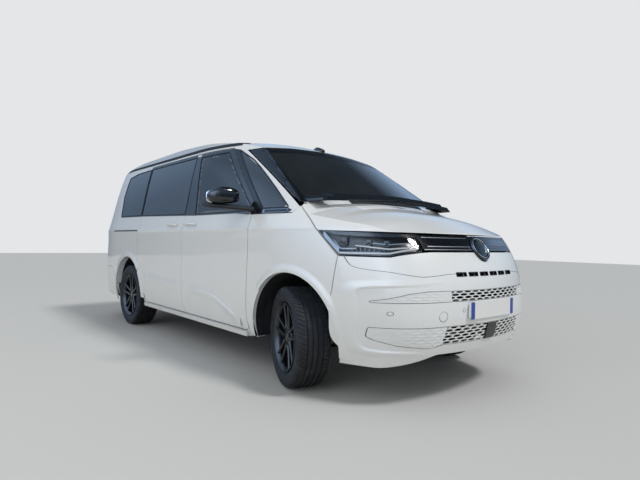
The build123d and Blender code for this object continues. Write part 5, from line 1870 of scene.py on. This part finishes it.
@dataclass
class Wheel:
    """One wheel about its own axle, outside at -Y: grooved tyre, ten-spoke rim, bolts, bare cap and brake
    disc."""

    axle: Axle
    side: Side
    grooves: tuple[float, ...] = (-0.054, -0.018, 0.018, 0.054)
    blocks: int = 72
    steer: float = -19.0
    track: float = 0.830
    kingpin: float = 0.760
    height: float = 0.346

    def place(self, surface: Surface) -> Surface:
        """Put a shape made about the origin where this wheel stands."""
        p = surface.points if self.side is Side.RIGHT else surface.points * (-1, -1, 1)
        p = p + (self.axle.value, self.side.value * self.track, self.height)
        if self.axle is Axle.FRONT:
            p = turn(p, self.steer, 2, (self.axle.value, self.side.value * self.kingpin, 0))
        return Surface(p, surface.faces)

    def tyre(self) -> Surface:
        """Tyre as a closed grid of section by turn.

        The section runs from bead to bead. Radius is the section's own less the grooves' depth, which is a
        box of y, and the sipes' depth, a box of the angle that slants with y and reaches over the
        shoulders.
        """
        wall = curve(
            [
                (0.0925, 0.238), (0.104, 0.250), (0.1135, 0.273), (0.1168, 0.298), (0.1150, 0.317),
                (0.1085, 0.3335), (0.0995, 0.3415), (0.0900, 0.3440)
            ],
            22
        )
        wall[:, 1] += 0.0008 * (np.cos(wall[:, 1] * 2 * np.pi / 0.016) > 0.75) * (wall[:, 1] < 0.330)
        edges = np.concatenate([np.array([-0.0053, -0.0036, 0.0036, 0.0053]) + g for g in self.grooves])
        y = np.sort(np.concatenate([
            edges, [-0.084, -0.077, -0.069, -0.036, 0.0, 0.036, 0.069, 0.077, 0.084]
        ]))
        tread = np.stack([y, 0.3458 - 0.0018 * (np.abs(y) / 0.088) ** 3], -1)
        section = np.concatenate([
            wall * (-1, 1), tread, wall[::-1], np.linspace((0.0925, 0.238), (-0.0925, 0.238), 6)[1:-1]
        ])
        y, r = section[:, 0][:, None], section[:, 1][:, None]
        pitch = 2 * np.pi / self.blocks
        step = np.array([0.0, 0.045, 0.115, 0.160, 0.60])
        low = np.tile([0.0, 1.0, 1.0, 0.0, 0.0], self.blocks)[None]
        sweep = pitch * 0.9 * np.sin(y / 0.11 * np.pi)
        turn_by = ((np.arange(self.blocks)[:, None] + step) * pitch).ravel()[None] + sweep
        groove = np.any([np.abs(y - g) < 0.0045 for g in self.grooves], 0) * (r > 0.330)
        shoulder = (np.abs(y) > 0.060) * (r > 0.326) * 0.0046
        rib = (np.abs(np.abs(y) - 0.036) < 0.011) * (r > 0.340) * 0.0026
        depth = np.maximum(groove * 0.0075, low * np.maximum(shoulder, rib))
        radius = r - depth
        points = np.stack([radius * np.cos(turn_by), y + 0 * turn_by, radius * np.sin(turn_by)], -1)
        return Surface.grid(points, wrap_rows=True, wrap_cols=True)

    def rim(self) -> Surface:
        """Barrel, hub and five pairs of spokes.

        A spoke's section is a squared oval; its half width, half depth and place run smoothly from hub to
        barrel.
        """
        barrel = np.array([
            (0.2372, -0.0925), (0.2378, -0.1040), (0.2362, -0.1078), (0.2325, -0.1085), (0.2290, -0.1060),
            (0.2235, -0.0985), (0.2150, -0.0930), (0.2105, -0.0830), (0.2085, -0.0600), (0.2060, 0.0),
            (0.2070, 0.0970), (0.2355, 0.1035), (0.2372, 0.0925), (0.2225, 0.0840), (0.2225, -0.0840)
        ])
        shape = Surface.turned(barrel, (0, 0, 0), 1, 128, True)
        hub = np.array([
            (0.0001, -0.0660), (0.030, -0.0660), (0.0305, -0.0800), (0.036, -0.0825), (0.060, -0.0815),
            (0.070, -0.0785), (0.0745, -0.0700), (0.0745, -0.0300), (0.0001, -0.0300)
        ])
        shape = shape + Surface.turned(hub, (0, 0, 0), 1, 96, True)
        t = np.linspace(0, 1, 26)[:, None]
        a = np.linspace(0, 2 * np.pi, 20, endpoint=False)[None]

        def box(v: Array) -> Array:
            """Draw a cosine or sine out towards a square's."""
            return np.sign(v) * np.abs(v) ** 0.55

        reach = 0.050 + 0.168 * t
        for pair in range(5):
            for lean in (-1, 1):
                middle = lean * (0.024 + 0.021 * t**1.2)
                half = 0.0125 - 0.0035 * t + 0.006 * (1 - t) ** 6 + 0.005 * t**10
                across = middle + half * box(np.cos(a))
                depth = 0.0155 + 0.004 * (1 - t) ** 3 + 0.002 * t**3
                y = -(0.0700 + 0.0135 * t**1.4) + depth * box(np.sin(a))
                ring = np.stack([across, y + 0 * across, reach + 0 * across], -1)
                spoke = Surface.grid(ring, wrap_cols=True, capped=True)
                spoke.points = turn(spoke.points, pair * 72.0, 1)
                shape = shape + spoke
        return shape

    def fittings(self) -> list[tuple[str, Surface, Finish]]:
        """Bare centre cap, five bolts, valve and the brake disc with its hat."""
        cap = np.array([
            (0.0001, -0.0865), (0.018, -0.0862), (0.0262, -0.0846), (0.0290, -0.0815), (0.0292, -0.0700),
            (0.0001, -0.0700)
        ])
        disc = np.array([
            (0.0760, -0.0140), (0.1580, -0.0140), (0.1645, -0.0120), (0.1645, -0.0050), (0.1600, -0.0045),
            (0.1600, 0.0045), (0.1645, 0.0050), (0.1645, 0.0120), (0.1580, 0.0140), (0.0760, 0.0140)
        ])
        hat = np.array([
            (0.0001, -0.0295), (0.068, -0.0295), (0.0745, -0.0270), (0.0755, -0.0140), (0.0755, 0.0290),
            (0.0001, 0.0290)
        ])
        bolts = []
        for i in range(5):
            angle = math.radians(90 + i * 72)
            head = Surface.turned(
                np.array([
                    (0.0001, -0.0905), (0.0055, -0.0905), (0.0088, -0.0888), (0.0098, -0.0800),
                    (0.0098, -0.0720), (0.0001, -0.0720)
                ]),
                (0, 0, 0), 1, 6, True
            )
            collar = Surface.turned(
                np.array([
                    (0.0108, -0.0830), (0.0135, -0.0832), (0.0150, -0.0815), (0.0150, -0.0760),
                    (0.0108, -0.0760)
                ]),
                (0, 0, 0), 1, 28, True
            )
            for part in (head, collar):
                part.points = part.points + (0.056 * math.cos(angle), 0, 0.056 * math.sin(angle))
                bolts.append(part)
        valve = Surface.tube(
            np.array([(0.196, -0.070, 0.036), (0.197, -0.088, 0.036), (0.198, -0.104, 0.036)]), 0.0042,
            10
        )
        heads = bolts[0]
        for part in bolts[1:]:
            heads = heads + part
        return [
            ("cap", Surface.turned(cap, (0, 0, 0), 1, 48, True), FINISH.gloss_black),
            ("bolts", heads, FINISH.bolt), ("valve", valve, FINISH.rubber),
            ("disc", Surface.turned(disc, (0, 0, 0), 1, 96, True), FINISH.disc),
            ("hat", Surface.turned(hat, (0, 0, 0), 1, 64, True), FINISH.casting),
        ]

    def make(self) -> None:
        """Make the wheel and let it stand for its CAD tyre and rim."""
        where = f"{self.axle.label}_{self.side.label}"
        body = "wheel_" + where
        tyre = self.place(self.tyre()).build("tyre_tread_" + where, FINISH.tyre, body, 28)
        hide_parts("tyre_" + where)
        rim = self.place(self.rim()).build("rim_spokes_" + where, FINISH.rim, body, 40)
        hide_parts("rim_" + where)
        for name, shape, finish in self.fittings():
            self.place(shape).build(f"wheel_{name}_{where}", finish, body, 40)


@dataclass
class Arches:
    """Black felt liners inside the wheel arches, each a part of a cylinder from flank to inner wall."""

    side: Side
    radius: float = 0.4225
    skin_low: float = 0.4215
    skin_high: float = 0.4245

    def make(self) -> None:
        """Make both liners of this side."""
        for axle, inner in ((Axle.FRONT, 0.572), (Axle.REAR, 0.600)):
            a = np.radians(np.linspace(-11.5, 191.5, 90))[None]
            x, z = axle.value + self.radius * np.cos(a), ARCH_HEIGHT + self.radius * np.sin(a)
            outer = np.abs(FORM.from_side(x, z, 0.0)[..., 1]) - 0.006
            t = np.linspace(0, 1, 24)[:, None]
            y = -(outer * (1 - t) + inner * t)
            ripple = 0.0016 * np.cos(t * 2 * np.pi * 5)
            skins = []
            for r in (self.skin_low - ripple, self.skin_high - ripple):
                skins.append(np.stack([axle.value + r * np.cos(a), y, ARCH_HEIGHT + r * np.sin(a)], -1))
            Surface.slab(*skins).on(self.side).build(
                f"arch_liner_{axle.label}_{self.side.label}", FINISH.liner, "body", 50
            )


@dataclass
class Roof:
    """Rising roof's skirt seal, the aerial on the cap and the pleated canvas under the roof."""

    pleats: int = 18
    foot: float = 1.8625
    top: float = 1.8905

    def skirt(self) -> None:
        """Rubber skirt along both sides of the rising roof, deeper towards its front end."""
        x = np.linspace(-2.105, 0.575, 160)
        low = np.full_like(x, 1.8465)
        high = 1.8700 + 0.0040 * smoothstep((x + 2.1) / 2.4)
        for side in Side:
            seal = patch("side", np.stack([x, low], -1), np.stack([x, high], -1), 0.0050, 0.006, 6)
            seal.on(side).build("roof_skirt_" + side.label, FINISH.rubber, "pop_roof", 50)

    def aerial(self) -> None:
        """Fin on the cap, over the windscreen's middle: an ellipsoid drawn out to the rear."""
        shape = Surface.pillow((0, 0, 0), (0.085, 0.034, 0.040), 2.2, (28, 40))
        p = shape.points
        lean = np.clip(p[:, 2] / 0.040, 0, 1)
        p[:, 0] = p[:, 0] * (1 - 0.55 * lean) - 0.022 * lean
        p[:, 1] *= 1 - 0.45 * lean
        at = FORM.from_top(np.array(0.785), np.array(0.0))
        shape.points = p + (at[0], at[1], at[2] - 0.004)
        shape.build("aerial_fin", FINISH.gloss_black, "body", 60)

    def canvas(self) -> None:
        """Canvas folded under the closed roof, in flat pleats.

        Round the opening it follows the opening's outline; upwards each fold steps between a line 5.5 mm
        and one 24.5 mm outside it.
        """
        opening = MM * np.array([
            (-1740, -610), (-300, -610), (340, -520), (340, 520), (-300, 610), (-1740, 610)
        ])
        line = resample(opening, 300, True)
        for _ in range(10):
            line = (np.roll(line, 1, 0) + 2 * line + np.roll(line, -1, 0)) / 4
        rows = 2 * self.pleats + 1
        out = np.where(np.arange(rows) % 2, 0.0245, 0.0055)
        grid = np.stack([inset_line(line, -w) for w in out])
        z = np.linspace(self.foot, self.top, rows)[:, None] * np.ones(len(line))
        surface = Surface.grid(np.concatenate([grid, z[..., None]], -1), wrap_cols=True)
        mesh = bpy.data.meshes.new("canvas_pleated")
        mesh.from_pydata(surface.points.tolist(), [], surface.faces[0].tolist())
        mesh.shade_smooth()
        mesh.set_sharp_from_angle(angle=math.radians(50))
        mesh.materials.append(FINISH.canvas.material())
        piece = bpy.data.objects.new("canvas_pleated", mesh)
        bpy.context.scene.collection.objects.link(piece)
        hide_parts("roof_canvas")
        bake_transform(piece)

    def make(self) -> None:
        """Make the roof's fittings."""
        self.skirt()
        self.aerial()
        self.canvas()


@dataclass
class Underbody:
    """Chassis, running gear and drive parts: smooth copies of the CAD solids in their own finishes."""

    copies: CadCopies

    def make(self) -> None:
        """Make every part below the floor."""
        for node, finish, body, slot in (
            ("floor_pan", FINISH.liner, "body", "floor_steel"),
            ("front_subframe", FINISH.casting, "body", "chassis_steel"),
            ("rear_suspension", FINISH.chassis, "body", "chassis_steel"),
            ("engine_block", FINISH.alloy, "body", "engine_metal"),
            ("fuel_tank", FINISH.plastic, "body", "tank_plastic"),
            ("exhaust", FINISH.exhaust, "body", "exhaust_steel"),
            ("knuckle_right", FINISH.casting, "knuckle_right", "cast_steel"),
            ("knuckle_left", FINISH.casting, "knuckle_left", "cast_steel"),
        ):
            self.copies.smooth(node, "part_" + node, finish, body)


@dataclass
class Seat:
    """Seat on its pedestal: padded cushion, back and headrest with sewn channels and side bolsters."""

    name: str
    x: float
    y: float
    width: float
    floor: float = 0.372

    @staticmethod
    def pad(
        section: list[tuple[float, float]], half: float, crown: float, channels: int, bolster: float
    ) -> Surface:
        """Closed pad lofted across the seat.

        A section of (x, z) is carried from side to side; it draws in towards both ends, sinks along the
        channels' lines and swells between them, and both edges rise as bolsters.

        Args:
            section: the closed outline of the pad, seen from the side.
            half: half its width.
            crown: how far the pad draws in at its ends.
            channels: sewn channels across its width.
            bolster: how far the edges stand over the middle.

        Returns:
            The closed surface.
        """
        ring = curve(section, 72, True)
        middle = ring.mean(0)
        u = np.linspace(-1, 1, 57)[:, None]
        end = (1 - np.abs(u) ** 7) ** 0.35
        shrink = 1 - crown * (1 - end)
        seam = np.exp(-(((u * channels / 2 + 0.5) % 1 - 0.5) / 0.07) ** 2) * (np.abs(u) < 0.92)
        rise, fall = smoothstep((np.abs(u) - 0.55) / 0.25), smoothstep((np.abs(u) - 0.8) / 0.2)
        swell = 1 - 0.035 * seam + bolster * rise * (1 - 0.6 * fall)
        x = middle[0] + (ring[:, 0] - middle[0])[None] * shrink * (1 + (swell - 1) * 0.6)
        z = middle[1] + (ring[:, 1] - middle[1])[None] * shrink * swell
        return Surface.grid(
            np.stack([x, half * np.sin(u * np.pi / 2 * 0.98) + 0 * x, z], -1), wrap_cols=True,
            capped=True
        )

    def make(self) -> None:
        """Make the seat's padded pieces, its shell and its posts."""
        at = np.array([self.x, self.y, self.floor])
        half = self.width / 2
        cushion = [
            (-0.262, 0.218), (0.0, 0.226), (0.270, 0.240), (0.292, 0.290), (0.262, 0.330), (0.0, 0.318),
            (-0.250, 0.308)
        ]
        back = [
            (-0.205, 0.285), (-0.250, 0.550), (-0.318, 0.800), (-0.378, 0.975), (-0.440, 0.990),
            (-0.455, 0.930), (-0.430, 0.750), (-0.375, 0.500), (-0.318, 0.295)
        ]
        rest = [
            (-0.382, 1.045), (-0.392, 1.120), (-0.408, 1.178), (-0.450, 1.188), (-0.474, 1.150),
            (-0.462, 1.060), (-0.430, 1.038)
        ]
        for name, section, wide, crown, channels, bolster, finish in (
            ("cushion", cushion, half - 0.006, 0.30, 5, 0.10, FINISH.seat),
            ("back", back, half - 0.018, 0.34, 5, 0.16, FINISH.seat),
            ("headrest", rest, 0.125, 0.40, 1, 0.0, FINISH.bolster),
        ):
            pad = self.pad(section, wide, crown, channels, bolster)
            pad.points = pad.points + at
            piece = pad.build(f"{self.name}_{name}", finish, "body", 80)
        shell = Surface.pillow((self.x, self.y, self.floor + 0.11), (0.205, half - 0.07, 0.110), 9, (20, 48))
        shell.build(f"{self.name}_pedestal", FINISH.plastic, "body", 50)
        lines = [np.array([(-0.422, y, 0.95), (-0.426, y, 1.07)]) + at for y in (-0.07, 0.07)]
        posts = [Surface.tube(line, 0.006, 12) for line in lines]
        (posts[0] + posts[1]).build(f"{self.name}_posts", FINISH.chrome, "body", 60)


@dataclass
class Cabin:
    """Inside: seats, dashboard with screens, steering wheel and the kitchen unit's fronts."""

    copies: CadCopies

    def seats(self) -> None:
        """Two front seats and two at the rear, which stand for the CAD ones."""
        for name, x, y, width in (
            ("seat_front_right", 0.56, -0.40, 0.52), ("seat_front_left", 0.56, 0.40, 0.52),
            ("seat_rear_right", -0.62, -0.42, 0.48), ("seat_rear_middle", -0.62, 0.09, 0.48)
        ):
            Seat(name, x, y, width).make()
        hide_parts("front_seats")
        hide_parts("rear_seats")

    def dash(self) -> None:
        """Dashboard, its screens, vents and the steering wheel."""
        self.copies.smooth("dashboard", "dash_moulding", FINISH.dash, "body")
        self.copies.smooth("steering_wheel", "steering_rim", FINISH.dash, "body", 45)
        for name, y, z, half_y, half_z in (
            ("screen_middle", 0.02, 1.155, 0.130, 0.080), ("screen_driver", 0.40, 1.150, 0.130, 0.065)
        ):
            plate = Surface.pillow((0, 0, 0), (0.009, half_y, half_z), 7, (16, 48))
            plate.points = turn(plate.points, 14, 1) + (1.135, y, z + 0.055)
            plate.build(name, FINISH.screen, "body", 50)
        for name, y in (("vent_right", -0.60), ("vent_mid_right", -0.20), ("vent_left", 0.66)):
            half = (0.006, 0.062, 0.0026)
            slats = [Surface.pillow((1.148, y, 1.055 + 0.012 * i), half, 4, (8, 24)) for i in range(5)]
            whole = slats[0]
            for slat in slats[1:]:
                whole = whole + slat
            whole.build(name, FINISH.gloss_black, "body", 50)

    def kitchen(self) -> None:
        """Kitchen unit with its worktop, drawer and door fronts and their finger rails."""
        self.copies.smooth("kitchen_unit", "kitchen_body", FINISH.laminate, "body")
        top = Surface.pillow((-1.445, 0.505, 1.187), (0.515, 0.045, 0.009), 10, (16, 64))
        top.build("kitchen_worktop", FINISH.dash, "body", 50)
        for i, (x0, x1) in enumerate(((-1.94, -1.64), (-1.63, -1.33), (-1.32, -0.955))):
            for j, (z0, z1) in enumerate(((0.40, 0.78), (0.79, 0.98), (0.99, 1.165))):
                half = ((x1 - x0) / 2, 0.006, (z1 - z0) / 2)
                front = Surface.pillow(((x0 + x1) / 2, 0.4635, (z0 + z1) / 2), half, 14, (20, 56))
                front.build(f"kitchen_front_{i}_{j}", FINISH.laminate, "body", 50)
                line = [(x0 + 0.05, 0.453), ((x0 + x1) / 2, 0.451), (x1 - 0.05, 0.453)]
                rail = Surface.tube(np.array([(*at, z1 - 0.022) for at in line]), 0.004, 10)
                rail.build(f"kitchen_rail_{i}_{j}", FINISH.alloy, "body", 50)

    def make(self) -> None:
        """Make everything inside."""
        self.seats()
        self.dash()
        self.kitchen()


@dataclass
class Wipers:
    """Two windscreen wipers that rest along the foot of the glass, each an arm and a blade."""

    def make(self) -> None:
        """Make both wipers, parked one behind the other."""
        for name, pivot, tip, blade in (
            ("right", (-0.56, 1.309), (-0.12, 1.335), ((-0.52, 1.318), (0.02, 1.342))),
            ("left", (0.02, 1.330), (0.34, 1.334), ((0.05, 1.342), (0.44, 1.330)))
        ):
            arm = spread(np.array(pivot), np.array(tip), 24)
            lift = 0.007 + 0.005 * np.sin(np.linspace(0, np.pi, 24))
            points = FORM.from_front(arm[:, 0], arm[:, 1], lift)
            Surface.tube(points, np.linspace(0.006, 0.004, 24), 12, 0.6).build(
                f"wiper_arm_{name}", FINISH.plastic, "body", 50
            )
            line = spread(np.array(blade[0]), np.array(blade[1]), 30)
            points = FORM.from_front(line[:, 0], line[:, 1], 0.007)
            Surface.tube(points, 0.0052, 10, 0.8).build(f"wiper_blade_{name}", FINISH.rubber, "body", 50)


def main() -> None:
    """Load the frame, build each sub-assembly in order and note the sizes."""
    logging.basicConfig(level=logging.INFO, format="%(name)s %(message)s")
    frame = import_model()
    copies = CadCopies(frame["nodes"])
    parts = [
        Studio(), Panels(copies), Glass(copies), FrontFace(copies), HeadLamps(), TailFace(copies),
        Roof(), Wipers()
    ]
    parts += [kind(side) for side in Side for kind in (SideTrim, Mirror, Arches)]
    parts += [Wheel(axle, side) for axle in Axle for side in Side]
    parts += [Underbody(copies), Cabin(copies)]
    for part in parts:
        part.make()
        log.info("%s done", type(part).__name__)


if __name__ == "__main__":
    main()
